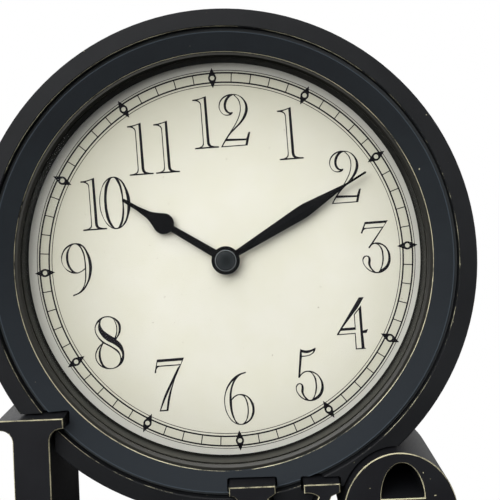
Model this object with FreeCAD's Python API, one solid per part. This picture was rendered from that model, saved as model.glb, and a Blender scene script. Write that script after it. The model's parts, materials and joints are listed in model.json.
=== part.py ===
import FreeCAD, Part
import math
import os

# Desk clock: a round drum of black fibreboard on three cut-out block supports.
# A small pendulum hangs through a slot in the drum's underside.
# Millimetres, +X to the right, +Y to the back, +Z up. The origin is on the table, under the middle.
Vec = FreeCAD.Vector
BACK = Vec(0, 1, 0)

# Overall sizes
drum_radius = 127.0
drum_clearance = 31.0
drum_depth = 50.0
drum_wall = 8.9
support_depth = 60.0
band_set_back = 6.5

# Clearances
seat_gap = 0.2
running_gap = 0.05
notch_gap = 1.2
overrun = 5.0

# Depths of the front pieces, from the drum's front edge
bezel_arris_depth = 1.5
bezel_dish_depth = 2.5
lip_step = 0.6
bezel_flange_depth = 4.5
dial_depth = 15.0
notch_depth = 11.0
dial_paper_thickness = 0.4
dial_board_thickness = 5.0
back_recess = 2.0
back_panel_thickness = 3.0

# Radii of the front pieces
bezel_setback = 2.3
bezel_width = 10.0
lip_wall = 2.4
lip_chamfer = 1.2
lens_thickness = 1.5
lens_flange = 1.4
lens_rebate = 1.4
dial_opening_step = 1.6

# The hand axis, a little off the drum's own axis as the dial was glued
axis_x = 0.85
axis_drop = 0.3

# Derived places that several pieces share
band_y = band_set_back - support_depth / 2
drum_back_y = band_y + drum_depth
drum_height = drum_radius + drum_clearance
drum_bore = drum_radius - drum_wall
bezel_outer_radius = drum_bore - bezel_setback
bezel_inner_radius = bezel_outer_radius - bezel_width
dial_y = band_y + dial_depth
board_y = dial_y + dial_paper_thickness
board_back_y = board_y + dial_board_thickness
panel_y = drum_back_y - back_recess - back_panel_thickness
axis_z = drum_height - axis_drop
lens_y = band_y + bezel_arris_depth + bezel_dish_depth + lip_step + lens_flange
lip_outer_radius = bezel_inner_radius - seat_gap
lip_bore = lip_outer_radius - lip_wall
dial_opening_radius = lip_bore - dial_opening_step
rebate_radius = lip_bore + lens_rebate / 2


def disc(radius, y0, y1, x=0.0, z=0.0):
    return Part.makeCylinder(radius, y1 - y0, Vec(x, y0, z), BACK)


def ring(outer, inner, y0, y1, x=0.0, z=0.0):
    hole = disc(inner, y0 - overrun, y1 + overrun, x, z)
    return disc(outer, y0, y1, x, z).cut(hole)


def block(x0, x1, y0, y1, z0, z1):
    return Part.makeBox(x1 - x0, y1 - y0, z1 - z0, Vec(x0, y0, z0))


def rounded_block(x0, x1, y0, y1, z0, z1, corner):
    solid = block(x0, x1, y0, y1, z0, z1)
    upright = [e for e in solid.Edges if abs(e.tangentAt(e.FirstParameter).y) > math.cos(math.pi / 4)]
    return solid.makeFillet(corner, upright)


def outline(start, moves, y):
    # A closed face square to Y. A move is a point, or a middle and an end point of an arc.
    edges = []
    here = Vec(start[0], y, start[1])
    first = here
    for move in moves:
        if isinstance(move[0], tuple):
            middle = Vec(move[0][0], y, move[0][1])
            there = Vec(move[1][0], y, move[1][1])
            edges.append(Part.Arc(here, middle, there).toShape())
        else:
            there = Vec(move[0], y, move[1])
            edges.append(Part.LineSegment(here, there).toShape())
        here = there
    if here.distanceToPoint(first) > 0:
        edges.append(Part.LineSegment(here, first).toShape())
    return Part.Face(Part.Wire(edges))


def prism(face, y0, y1):
    lifted = face.copy()
    lifted.translate(Vec(0, y0 - face.BoundBox.YMin, 0))
    return lifted.extrude(Vec(0, y1 - y0, 0))


def turned(profile, x, z):
    # A full turn about an axis along Y. The profile is a list of radius and Y pairs.
    points = [Vec(x + radius, y, z) for radius, y in profile]
    face = Part.Face(Part.makePolygon(points + [points[0]]))
    return face.revolve(Vec(x, 0, z), BACK, 360)


def bracket(x0, z0, x1, z1):
    # The hollow curve under a serif: level where it starts, upright where it meets the stem.
    lean_share = math.sin(math.pi / 4)
    middle = (x0 + (x1 - x0) * lean_share, z1 + (z0 - z1) * lean_share)
    return (middle, (x1, z1))


# Supports: solid blocks 60 mm deep, each with a thin pad at its front and back

pad_radius = 4.0
pad_thickness = 1.5
pad_inset = 9.0
support_edge_break = 0.45

column_place_share = 0.7717
column_drop_share = 0.5748
column_x = -column_place_share * drum_radius
column_top = drum_height - column_drop_share * drum_radius
column_cap_width = 32.2
column_stem_width = 18.2
column_cap_thickness = 5.0
column_bracket_radius = 6.0
column_foot_thickness = 7.0


def column_face():
    cap = column_cap_width / 2
    stem = column_stem_width / 2
    bend = stem + column_bracket_radius
    under = column_top - column_cap_thickness
    bracket_end = under - column_bracket_radius
    foot = pad_thickness + column_foot_thickness
    foot_bracket = foot + column_bracket_radius
    moves = [
        (column_x + cap, column_top),
        (column_x + cap, under),
        (column_x + bend, under),
        bracket(column_x + bend, under, column_x + stem, bracket_end),
        (column_x + stem, foot_bracket),
        bracket_out(column_x + stem, foot_bracket, column_x + bend, foot),
        (column_x + cap, foot),
        (column_x + cap, pad_thickness),
        (column_x - cap, pad_thickness),
        (column_x - cap, foot),
        (column_x - bend, foot),
        bracket(column_x - bend, foot, column_x - stem, foot_bracket),
        (column_x - stem, bracket_end),
        bracket_out(column_x - stem, bracket_end, column_x - bend, under),
        (column_x - cap, under),
    ]
    return outline((column_x - cap, column_top), moves, band_y)


def bracket_out(x0, z0, x1, z1):
    # The same hollow curve, walked from the stem out to the serif's end.
    lean_share = math.sin(math.pi / 4)
    middle = (x1 + (x0 - x1) * lean_share, z0 + (z1 - z0) * lean_share)
    return (middle, (x1, z1))


vee_top = 47.8
vee_left_serif_x0 = -1.5
vee_left_serif_x1 = 21.3
vee_left_serif_edge = 4.4
vee_left_serif_inner_edge = 3.8
vee_left_stroke_x0 = 2.1
vee_left_stroke_x1 = 17.6
vee_right_serif_drop = 0.1
vee_right_serif_x0 = 35.4
vee_right_serif_x1 = 53.1
vee_right_serif_edge = 4.3
vee_right_stroke_x0 = 42.4
vee_right_stroke_x1 = 48.7
vee_serif_height = 6.3
vee_thick_lean_share = 0.587
vee_thin_lean_share = 0.45
vee_foot_x0 = 8.0
vee_foot_x1 = 48.0
vee_foot_thickness = 6.0


def vee_face():
    neck = vee_top - vee_serif_height
    right_top = vee_top - vee_right_serif_drop
    foot = pad_thickness + vee_foot_thickness
    lean_sum = vee_thick_lean_share + vee_thin_lean_share
    crotch_drop = (vee_right_stroke_x0 - vee_left_stroke_x1) / lean_sum
    crotch_x = vee_left_stroke_x1 + vee_thick_lean_share * crotch_drop
    foot_drop = neck - foot
    left_edge = vee_top - vee_left_serif_edge
    inner_edge = vee_top - vee_left_serif_inner_edge
    right_edge = right_top - vee_right_serif_edge
    moves = [
        (vee_left_serif_x1, vee_top),
        (vee_left_serif_x1, inner_edge),
        (vee_left_stroke_x1, neck),
        (crotch_x, neck - crotch_drop),
        (vee_right_stroke_x0, neck),
        bracket_out(vee_right_stroke_x0, neck, vee_right_serif_x0, right_edge),
        (vee_right_serif_x0, right_top),
        (vee_right_serif_x1, right_top),
        (vee_right_serif_x1, right_edge),
        (vee_right_stroke_x1, neck),
        (vee_right_stroke_x1 - vee_thin_lean_share * foot_drop, foot),
        (vee_foot_x1, foot),
        (vee_foot_x1, pad_thickness),
        (vee_foot_x0, pad_thickness),
        (vee_foot_x0, foot),
        (vee_left_stroke_x0 + vee_thick_lean_share * foot_drop, foot),
        (vee_left_stroke_x0, neck),
        bracket_out(vee_left_stroke_x0, neck, vee_left_serif_x0, left_edge),
    ]
    return outline((vee_left_serif_x0, vee_top), moves, band_y)


loop_place_share = 0.6496
eye_offset = 1.3
loop_x = loop_place_share * drum_radius
loop_top = 61.7
loop_half_width = 28.3
loop_half_height = 31.0
eye_x = loop_x + eye_offset
eye_half_width = 10.7
upper_eye_top = 56.7
bar_top = 39.2
bar_thickness = 5.4
lower_eye_bottom = 9.5
eye_back_inset = 3.0
eye_back_thickness = 3.0


def loop_outer_face(grown):
    centre_z = loop_top - loop_half_height
    top = Vec(loop_x, band_y, centre_z + loop_half_height + grown)
    side = Vec(loop_x + loop_half_width + grown, band_y, centre_z)
    upright = loop_half_height >= loop_half_width
    ellipse = Part.Ellipse(top if upright else side, side if upright else top, Vec(loop_x, band_y, centre_z))
    face = Part.Face(Part.Wire([ellipse.toShape()]))
    below = block(loop_x - drum_radius, loop_x + drum_radius, band_y - overrun, band_y + overrun,
                  pad_thickness - drum_height, pad_thickness)
    return face.cut(below).Faces[0]


def eye_solid(half_width, top, bottom, y0, y1):
    # Half an oval along Y, arched towards top from a flat at bottom; top may lie below bottom.
    height = abs(top - bottom)
    long_axis = max(height, half_width)
    tip = Vec(eye_x, y0, bottom + height) if height >= half_width else Vec(eye_x + half_width, y0, bottom)
    side = Vec(eye_x + half_width, y0, bottom) if height >= half_width else Vec(eye_x, y0, bottom + height)
    oval = Part.Ellipse(tip, side, Vec(eye_x, y0, bottom))
    solid = Part.Face(Part.Wire([oval.toShape()])).extrude(Vec(0, y1 - y0, 0))
    if top > bottom:
        other_half = block(eye_x - long_axis, eye_x + long_axis, y0, y1, bottom - long_axis, bottom)
    else:
        other_half = block(eye_x - long_axis, eye_x + long_axis, y0, y1, bottom, bottom + long_axis)
    return solid.cut(other_half)


def eye_pair(half_width, shrink, y0, y1):
    upper = eye_solid(half_width, upper_eye_top - shrink, bar_top + shrink, y0, y1)
    lower = eye_solid(half_width, lower_eye_bottom + shrink, bar_top - bar_thickness - shrink, y0, y1)
    return upper, lower


def saddle():
    # The round seat that the drum lies in, behind the lip that laps its front.
    return disc(drum_radius + seat_gap, band_y + notch_depth, support_depth, 0, drum_height)


def eased(body, y):
    # The rubbed edges: every edge of the flat face at y is taken off at an angle.
    close = support_edge_break / 10
    edges = [e for e in body.Edges if e.BoundBox.YLength < close and abs(e.BoundBox.YMin - y) < close]
    return body.makeChamfer(support_edge_break, edges)


def notches():
    # The supports' fronts lap the drum, so its front pieces are notched round their outlines.
    faces = [column_face().makeOffset2D(notch_gap), vee_face().makeOffset2D(notch_gap),
             loop_outer_face(notch_gap)]
    return [prism(face, band_y - overrun, band_y + notch_depth) for face in faces]


def support_from(body):
    front_y = -support_depth / 2
    return eased(eased(body, front_y), support_depth / 2).cut(saddle())


def support_prism(face):
    return prism(face, -support_depth / 2, support_depth / 2)


def make_left_column():
    return support_from(support_prism(column_face()))


def make_centre_bracket():
    return support_from(support_prism(vee_face()))


def make_right_ring():
    eyes = list(eye_pair(eye_half_width, 0, -support_depth, support_depth))
    return support_from(support_prism(loop_outer_face(0)).cut(eyes))


def make_right_ring_backs():
    back_y = support_depth / 2 - eye_back_inset
    fitted = eye_pair(eye_half_width - seat_gap, seat_gap, back_y - eye_back_thickness, back_y)
    return Part.makeCompound([back.cut(saddle()) for back in fitted])


def make_foot_pads():
    pads = []
    for x in (column_x, (vee_foot_x0 + vee_foot_x1) / 2, loop_x):
        for side in (-1, 1):
            y = side * (support_depth / 2 - pad_inset)
            pads.append(Part.makeCylinder(pad_radius, pad_thickness, Vec(x, y, 0), Vec(0, 0, 1)))
    return Part.makeCompound(pads)


# Screws through the drum's wall into the supports, driven from inside

screw_radius = 1.7
screw_head_radius = 3.4
screw_head_height = 2.2
support_screw_reach = 7.0
support_screw_spread = 12.0
support_screw_angles = (219.5, 275.2, 299.8)


def wood_screw(shank, head, head_height, length, tip, at, direction):
    # Countersunk head, a plain shank and a drawn-down point.
    cone = Part.makeCone(head, shank, head_height, at, direction)
    body = Part.makeCylinder(shank, length - tip, at, direction)
    point = Part.makeCone(shank, shank / 4, tip, at + direction * (length - tip), direction)
    return cone.fuse([body, point]).removeSplitter()


def support_screw_frames():
    frames = []
    for angle in support_screw_angles:
        direction = Vec(math.cos(math.radians(angle)), 0, math.sin(math.radians(angle)))
        for side in (-1, 1):
            at = Vec(0, side * support_screw_spread, drum_height) + direction * drum_bore
            frames.append((at, direction))
    return frames


def make_support_screws():
    length = drum_wall + support_screw_reach
    screws = []
    for at, direction in support_screw_frames():
        screws.append(wood_screw(screw_radius, screw_head_radius, screw_head_height, length,
                                 screw_head_height, at, direction))
    return Part.makeCompound(screws)


def support_screw_holes():
    length = drum_wall + support_screw_reach + seat_gap
    holes = []
    for at, direction in support_screw_frames():
        holes.append(wood_screw(screw_radius + running_gap, screw_head_radius + running_gap,
                                screw_head_height, length, screw_head_height, at, direction))
        holes.append(Part.makeCylinder(screw_head_radius + running_gap, overrun, at - direction * overrun,
                                       direction))
    return holes


# Pendulum places, needed by the drum's slot as well

pendulum_x = -41.0
pivot_drop = 50.0
rod_width = 3.0
rod_thickness = 0.8
slot_width = 22.0
slot_play = 1.6
drive_depth = 9.5
drive_back_y = board_back_y + drive_depth
hanger_gap = 0.6
hanger_thickness = 2.0
rod_y = drive_back_y + hanger_gap + hanger_thickness
pivot_z = drum_height - pivot_drop


# Case: the drum wall, the dished ring, the lip and the boards behind the dial

edge_break = 0.5
back_edge_break = 1.0


def make_drum_ring():
    front_arris = band_y + edge_break
    back_arris = drum_back_y - back_edge_break
    profile = [
        (drum_bore + edge_break, band_y),
        (drum_radius - edge_break, band_y),
        (drum_radius, front_arris),
        (drum_radius, back_arris),
        (drum_radius - back_edge_break, drum_back_y),
        (drum_bore, drum_back_y),
        (drum_bore, front_arris),
    ]
    body = turned(profile, 0, drum_height)
    slot = block(pendulum_x - slot_width / 2, pendulum_x + slot_width / 2,
                 rod_y - slot_play, rod_y + rod_thickness + slot_play,
                 drum_height - drum_radius - overrun, pivot_z - drum_wall)
    return body.cut(notches() + [slot] + support_screw_holes())


def make_bezel_ring():
    face_outer_y = band_y + bezel_arris_depth
    face_inner_y = face_outer_y + bezel_dish_depth
    flange_radius = drum_bore - seat_gap
    slope_share = bezel_dish_depth / (bezel_outer_radius - bezel_inner_radius)
    profile = [
        (bezel_inner_radius, face_inner_y + edge_break),
        (bezel_inner_radius + edge_break, face_inner_y - slope_share * edge_break),
        (bezel_outer_radius, face_outer_y),
        (bezel_outer_radius, band_y + bezel_flange_depth),
        (flange_radius, band_y + bezel_flange_depth),
        (flange_radius, dial_y),
        (bezel_inner_radius, dial_y),
    ]
    return turned(profile, 0, drum_height).cut(notches())


def make_lip_ring():
    front_y = lens_y - lens_flange
    profile = [
        (lip_outer_radius, front_y),
        (lip_bore + lip_chamfer, front_y),
        (lip_bore, front_y + lens_flange / 2),
        (lip_bore, lens_y),
        (rebate_radius, lens_y),
        (rebate_radius, dial_y),
        (lip_outer_radius, dial_y),
    ]
    return turned(profile, 0, drum_height)


def make_lens():
    return disc(rebate_radius - seat_gap, lens_y, lens_y + lens_thickness, 0, drum_height)


def make_lens_spacer():
    outer = rebate_radius - seat_gap
    profile = [
        (outer, lens_y + lens_thickness),
        (lip_bore - seat_gap, lens_y + lens_thickness),
        (dial_opening_radius, dial_y),
        (outer, dial_y),
    ]
    return turned(profile, 0, drum_height)


bush_radius = 4.0
bush_bore = 2.65
hole_play = 0.3


def make_dial_face():
    hole = disc(bush_radius + hole_play, dial_y - overrun, board_y + overrun, axis_x, axis_z)
    return disc(bezel_outer_radius, dial_y, board_y, 0, drum_height).cut(hole)


def make_dial_board():
    hole = disc(bush_radius + hole_play, board_y - overrun, board_back_y + overrun, axis_x, axis_z)
    return disc(drum_bore - seat_gap, board_y, board_back_y, 0, drum_height).cut(hole)


block_width = 24.0
block_height = 18.0
block_angles = (45, 135, 225, 315)
panel_screw_length = 14.0
panel_screw_reach = 8.0
panel_screw_head_height = 1.8
window_half = 33.0
window_corner = 5.0
cross_share = 0.6


def block_centre(angle):
    reach = drum_bore - block_height / 2 - panel_screw_reach / 4
    x = reach * math.cos(math.radians(angle))
    z = drum_height + reach * math.sin(math.radians(angle))
    return x, z


def panel_screw_hole(x, z, y0, y1):
    return disc(screw_radius + running_gap, y0, y1, x, z)


def make_corner_blocks():
    # Softwood blocks glued behind the dial board; their outer face is rounded to the drum's bore.
    inside = disc(drum_bore - seat_gap, board_back_y, panel_y, 0, drum_height)
    blocks = []
    for angle in block_angles:
        x, z = block_centre(angle)
        body = block(drum_bore - block_height - panel_screw_reach / 2, drum_radius, board_back_y, panel_y,
                     -block_width / 2, block_width / 2)
        body.rotate(Vec(0, 0, 0), BACK, -angle)
        body.translate(Vec(0, 0, drum_height))
        hole = panel_screw_hole(x, z, panel_y - panel_screw_length, panel_y + overrun)
        blocks.append(body.common(inside).cut(hole))
    return Part.makeCompound(blocks)


def make_back_panel():
    panel = disc(drum_bore - seat_gap, panel_y, panel_y + back_panel_thickness, 0, drum_height)
    window = rounded_block(axis_x - window_half, axis_x + window_half, panel_y - overrun,
                           panel_y + back_panel_thickness + overrun, axis_z - window_half,
                           axis_z + window_half, window_corner)
    panel = panel.cut(window)
    for angle in block_angles:
        x, z = block_centre(angle)
        panel = panel.cut(panel_screw_hole(x, z, panel_y - overrun, panel_y + back_panel_thickness + overrun))
    return panel


def make_back_panel_screws():
    head_y = panel_y + back_panel_thickness
    screws = []
    for angle in block_angles:
        x, z = block_centre(angle)
        head = disc(screw_head_radius, head_y, head_y + panel_screw_head_height, x, z)
        shank = disc(screw_radius, head_y - back_panel_thickness - panel_screw_reach, head_y, x, z)
        cross_width = screw_head_radius / 4
        body = head.fuse(shank).removeSplitter()
        for long_x, long_z in ((1, 0), (0, 1)):
            half_x = screw_head_radius * cross_share if long_x else cross_width / 2
            half_z = screw_head_radius * cross_share if long_z else cross_width / 2
            body = body.cut(block(x - half_x, x + half_x, head_y + panel_screw_head_height / 2,
                                  head_y + overrun, z - half_z, z + half_z))
        screws.append(body)
    return Part.makeCompound(screws)


# Gears: involute teeth, every pinion shifted outwards and its wheel inwards by the same share

pressure_angle = math.radians(25)
pinion_shift_share = 0.15
dedendum_share = 1.25
flank_play = 0.05


def involute_angle(radius, base):
    pressure = math.acos(min(1.0, base / radius))
    return math.tan(pressure) - pressure


def gear(teeth, module, shift_share, phase, bore, y0, y1, x, z):
    # phase is the angle of one tooth's middle, from +X towards +Z.
    pitch_radius = teeth * module / 2
    base = pitch_radius * math.cos(pressure_angle)
    tip = pitch_radius + module * (1 + shift_share)
    root = pitch_radius - module * (dedendum_share - shift_share)
    thickness = module * (math.pi / 2 + 2 * shift_share * math.tan(pressure_angle)) - flank_play
    half = thickness / (2 * pitch_radius) + involute_angle(pitch_radius, base)
    start = max(base, root)

    def on_flank(radius, middle, side):
        angle = middle + side * (half - involute_angle(radius, base))
        return Vec(x + radius * math.cos(angle), y0, z + radius * math.sin(angle))

    def polar(radius, angle):
        return Vec(x + radius * math.cos(angle), y0, z + radius * math.sin(angle))

    edges = []
    pitch_angle = 2 * math.pi / teeth
    start_half = half - involute_angle(start, base)
    for number in range(teeth):
        middle = phase + number * pitch_angle
        between = (start + tip) / 2
        rise = [on_flank(r, middle, -1) for r in (start, between, tip)]
        fall = [on_flank(r, middle, 1) for r in (tip, between, start)]
        root_in = polar(root, middle - start_half)
        root_out = polar(root, middle + start_half)
        if start > root:
            edges.append(Part.LineSegment(root_in, rise[0]).toShape())
        edges.append(Part.Arc(*rise).toShape())
        edges.append(Part.Arc(rise[2], polar(tip, middle), fall[0]).toShape())
        edges.append(Part.Arc(*fall).toShape())
        if start > root:
            edges.append(Part.LineSegment(fall[2], root_out).toShape())
        next_in = polar(root, middle + pitch_angle - start_half)
        edges.append(Part.Arc(root_out, polar(root, middle + pitch_angle / 2), next_in).toShape())
    body = Part.Face(Part.Wire(edges)).extrude(Vec(0, y1 - y0, 0))
    if bore > 0:
        body = body.cut(disc(bore, y0 - overrun, y1 + overrun, x, z))
    return body


def meshed_phase(phase, teeth, other_teeth, direction):
    # The phase that puts the other gear's tooth space over this gear's tooth; direction points to it.
    return direction + math.pi - (phase - direction) * teeth / other_teeth - math.pi / other_teeth


# Movement: a battery driven clock movement 56 mm square, behind the dial board

case_half = 28.0
case_depth = 16.0
case_wall = 1.2
case_corner = 4.0
case_plate = 1.5
case_split = 5.3
washer_thickness = 0.8
case_y = board_back_y + washer_thickness
case_inner_y = case_y + case_plate
case_back_y = case_y + case_depth
case_back_inner_y = case_back_y - case_plate
case_split_y = case_y + case_split
boss_radius = 1.3

# The battery bay fills the lower part of the case and is open at the back
battery_radius = 7.25
battery_length = 48.5
battery_nub_radius = 2.75
battery_nub_length = 1.6
bay_play = 0.35
bay_floor_play = 0.2
bay_bottom_z = axis_z - case_half + case_wall
battery_z = bay_bottom_z + battery_radius + bay_play
bay_top_z = battery_z + battery_radius + bay_play
divider_thickness = 1.0
battery_y = case_inner_y + battery_radius + bay_floor_play

# Gear layers, counted from the front plate
wheel_thickness = 0.6
layer_pitch = 1.15
motion_thickness = 0.8
arbor_radius = 0.4
pivot_gap = 0.05
first_layer_y = case_inner_y + layer_pitch / 4


def layer(number):
    return first_layer_y + number * layer_pitch


# Tooth counts and modules
cannon_teeth = 12
motion_teeth = 36
motion_pinion_teeth = 10
hour_teeth = 40
motion_module = 0.5
motion_distance = motion_module * (cannon_teeth + motion_teeth) / 2
hour_module = 2 * motion_distance / (motion_pinion_teeth + hour_teeth)
train_module = 0.25
pinion_teeth = 10
centre_teeth = 80
third_teeth = 75
second_teeth = 40
fifth_teeth = 75
motion_direction = math.pi
third_direction = math.radians(100)
second_direction = math.radians(20)
fifth_direction = 0.0
rotor_direction = math.radians(-90)


def step_from(place, direction, wheel, pinion):
    distance = train_module * (wheel + pinion) / 2
    return (place[0] + distance * math.cos(direction), place[1] + distance * math.sin(direction))


centre_place = (axis_x, axis_z)
motion_place = (axis_x + motion_distance * math.cos(motion_direction),
                axis_z + motion_distance * math.sin(motion_direction))
third_place = step_from(centre_place, third_direction, centre_teeth, pinion_teeth)
second_place = step_from(third_place, second_direction, third_teeth, pinion_teeth)
fifth_place = step_from(second_place, fifth_direction, second_teeth, pinion_teeth)
rotor_place = step_from(fifth_place, rotor_direction, fifth_teeth, pinion_teeth)

cannon_layer = 1
motion_layer = 1
hour_layer = 0
centre_layer = 2
third_layer = 3
second_layer = 4
fifth_layer = 5
magnet_layer = 6


def pivot_hole(place, y0, y1):
    return disc(arbor_radius + pivot_gap, y0, y1, place[0], place[1])


# Shafts that pass through the dial
nut_thickness = 1.8
nut_across = 11.0
nut_washer_thickness = 0.4
hour_tube_radius = 2.6
cannon_radius = 1.6
cannon_bore = 0.8
bush_front_y = dial_y - nut_washer_thickness - nut_thickness
hour_hand_gap = 0.5
hour_hand_thickness = 0.6
hand_gap = 0.7
minute_hand_thickness = 0.5
minute_ridge = 0.5
hour_hand_back_y = bush_front_y - hour_hand_gap
hour_hand_front_y = hour_hand_back_y - hour_hand_thickness
minute_hand_back_y = hour_hand_front_y - hand_gap
minute_hand_front_y = minute_hand_back_y - minute_hand_thickness
cap_rim_radius = 7.3
cap_rim_thickness = 0.5
cap_disc_radius = 5.5
cap_disc_height = 1.3
cap_dome = 0.8
cap_back_y = minute_hand_front_y - minute_ridge


def make_movement_front_case():
    shell = rounded_block(axis_x - case_half, axis_x + case_half, case_y, case_split_y,
                          axis_z - case_half, axis_z + case_half, case_corner)
    inner = rounded_block(axis_x - case_half + case_wall, axis_x + case_half - case_wall, case_inner_y,
                          case_split_y + overrun, axis_z - case_half + case_wall,
                          axis_z + case_half - case_wall, case_corner - case_wall)
    body = shell.cut(inner)
    divider = block(axis_x - case_half + case_wall, axis_x + case_half - case_wall, case_inner_y,
                    case_split_y, bay_top_z, bay_top_z + divider_thickness)
    bush = disc(bush_radius, bush_front_y, case_inner_y, axis_x, axis_z)
    second_boss = disc(boss_radius, case_inner_y, layer(third_layer) - layer_pitch / 4,
                       second_place[0], second_place[1])
    body = body.fuse([divider, bush, second_boss]).removeSplitter()
    holes = [disc(bush_bore, bush_front_y - overrun, case_inner_y + overrun, axis_x, axis_z)]
    for place in (third_place, fifth_place, rotor_place, motion_place):
        holes.append(pivot_hole(place, case_inner_y - case_plate / 2, case_inner_y + overrun))
    holes.append(pivot_hole(second_place, case_inner_y, layer(second_layer)))
    return body.cut(holes)


def make_movement_back_case():
    shell = rounded_block(axis_x - case_half, axis_x + case_half, case_split_y, case_back_y,
                          axis_z - case_half, axis_z + case_half, case_corner)
    inner = rounded_block(axis_x - case_half + case_wall, axis_x + case_half - case_wall,
                          case_split_y - overrun, case_back_inner_y, axis_z - case_half + case_wall,
                          axis_z + case_half - case_wall, case_corner - case_wall)
    bay = block(axis_x - case_half + case_wall, axis_x + case_half - case_wall, case_split_y - overrun,
                case_back_y + overrun, bay_bottom_z, bay_top_z)
    corner_fill = shell.cut(inner).cut(bay)
    divider = block(axis_x - case_half + case_wall, axis_x + case_half - case_wall, case_split_y,
                    case_back_y, bay_top_z, bay_top_z + divider_thickness)
    parts = [divider]
    for place in (centre_place, third_place, fifth_place, rotor_place):
        parts.append(disc(boss_radius, boss_front(place), case_back_inner_y, place[0], place[1]))
    for x, z in board_posts():
        parts.append(disc(boss_radius, board_plate_y + circuit_thickness, case_back_inner_y, x, z))
    for x, z in stator_posts():
        parts.append(disc(boss_radius, stator_y + stator_thickness, case_back_inner_y, x, z))
    body = corner_fill.fuse(parts).removeSplitter()
    holes = []
    for place in (centre_place, third_place, fifth_place, rotor_place):
        holes.append(pivot_hole(place, boss_front(place) - overrun, case_back_inner_y))
    holes.append(disc(knob_arbor_radius + pivot_gap, case_back_inner_y - overrun, case_back_y + overrun,
                      motion_place[0], motion_place[1]))
    return body.cut(holes)


def boss_front(place):
    tops = {
        centre_place: layer(centre_layer + 2),
        third_place: layer(third_layer + 3),
        fifth_place: layer(fifth_layer + 3),
        rotor_place: layer(magnet_layer) + magnet_length + layer_pitch / 2,
    }
    return tops[place]


# Circuit board, stator and coil

board_x0 = -26.0
board_x1 = -5.0
board_z0 = 9.0
board_z1 = 25.5
circuit_thickness = 1.0
board_post_height = 2.0
board_plate_y = case_back_inner_y - board_post_height - circuit_thickness
board_post_inset = 3.0
chip_sink_share = 0.6
crystal_radius = 1.5
crystal_length = 6.0
stator_thickness = 1.0
stator_x0 = 5.0
stator_x1 = 25.0
stator_top = 8.6
stator_leg = 3.0
stator_bottom = -8.4
stator_core = 3.0
stator_hole = 3.0
magnet_radius = 2.4
magnet_length = 2.0
stator_y = layer(magnet_layer) + magnet_length / 4
bobbin_flange = 1.0
bobbin_wall = 0.5
winding_radius = 3.4
knob_arbor_radius = 1.0
knob_radius = 6.0
knob_thickness = 4.5
knob_gap = 0.5
knob_flutes = 24
knob_flute_radius = 0.5


def board_posts():
    left = axis_x + board_x0 + board_post_inset
    right = axis_x + board_x1 - board_post_inset
    top = axis_z + board_z1 - board_post_inset
    bottom = axis_z + board_z0 + board_post_inset
    return [(left, top), (right, bottom)]


def stator_posts():
    inset = stator_leg / 2
    low = axis_z + stator_bottom + inset
    return [(axis_x + stator_x0 + inset, low), (axis_x + stator_x1 - inset, low)]


def make_circuit_board():
    plate = block(axis_x + board_x0, axis_x + board_x1, board_plate_y, board_plate_y + circuit_thickness,
                  axis_z + board_z0, axis_z + board_z1)
    chip_x = axis_x + (board_x0 + board_x1) / 2
    chip_z = axis_z + board_z0 + 2 * board_post_inset
    chip_centre = Vec(chip_x, board_plate_y + board_post_inset * chip_sink_share, chip_z)
    chip = Part.makeSphere(board_post_inset, chip_centre)
    front_half = block(chip_x - board_post_inset, chip_x + board_post_inset, board_plate_y - board_post_inset,
                       board_plate_y + circuit_thickness / 2, chip_z - board_post_inset,
                       chip_z + board_post_inset)
    return plate.fuse(chip.common(front_half)).removeSplitter()


def make_quartz_crystal():
    x = axis_x + board_x1 - board_post_inset - crystal_length
    z = axis_z + board_z1 - crystal_radius - running_gap
    return Part.makeCylinder(crystal_radius, crystal_length,
                             Vec(x, board_plate_y - crystal_radius - running_gap, z), Vec(1, 0, 0))


def make_stator():
    y0 = stator_y
    y1 = stator_y + stator_thickness
    outer = block(axis_x + stator_x0, axis_x + stator_x1, y0, y1, axis_z + stator_bottom, axis_z + stator_top)
    gap_top = rotor_place[1] - axis_z - stator_hole - stator_leg / 2
    inner = block(axis_x + stator_x0 + stator_leg, axis_x + stator_x1 - stator_leg, y0 - overrun,
                  y1 + overrun, axis_z + stator_bottom + stator_core, axis_z + gap_top)
    hole = disc(stator_hole, y0 - overrun, y1 + overrun, rotor_place[0], rotor_place[1])
    return outer.cut([inner, hole])


def bobbin_axis():
    return stator_y + stator_thickness / 2, axis_z + stator_bottom + stator_core / 2


def make_coil_bobbin():
    y, z = bobbin_axis()
    x0 = axis_x + stator_x0 + stator_leg + bobbin_flange
    x1 = axis_x + stator_x1 - stator_leg - bobbin_flange
    half_y = stator_thickness / 2 + seat_gap
    half_z = stator_core / 2 + seat_gap
    tube = block(x0, x1, y - half_y - bobbin_wall, y + half_y + bobbin_wall,
                 z - half_z - bobbin_wall, z + half_z + bobbin_wall)
    ends = []
    for x in (x0, x1 - bobbin_flange):
        ends.append(Part.makeCylinder(winding_radius, bobbin_flange, Vec(x, y, z), Vec(1, 0, 0)))
    body = tube.fuse(ends).removeSplitter()
    return body.cut(block(x0 - overrun, x1 + overrun, y - half_y, y + half_y, z - half_z, z + half_z))


def make_coil_winding():
    y, z = bobbin_axis()
    x0 = axis_x + stator_x0 + stator_leg + 2 * bobbin_flange
    x1 = axis_x + stator_x1 - stator_leg - 2 * bobbin_flange
    half_y = stator_thickness / 2 + seat_gap + bobbin_wall
    half_z = stator_core / 2 + seat_gap + bobbin_wall
    body = Part.makeCylinder(winding_radius - running_gap, x1 - x0, Vec(x0, y, z), Vec(1, 0, 0))
    return body.cut(block(x0 - overrun, x1 + overrun, y - half_y, y + half_y, z - half_z, z + half_z))


# Battery and its contacts

contact_half = 4.0
contact_play = 0.15


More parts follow.
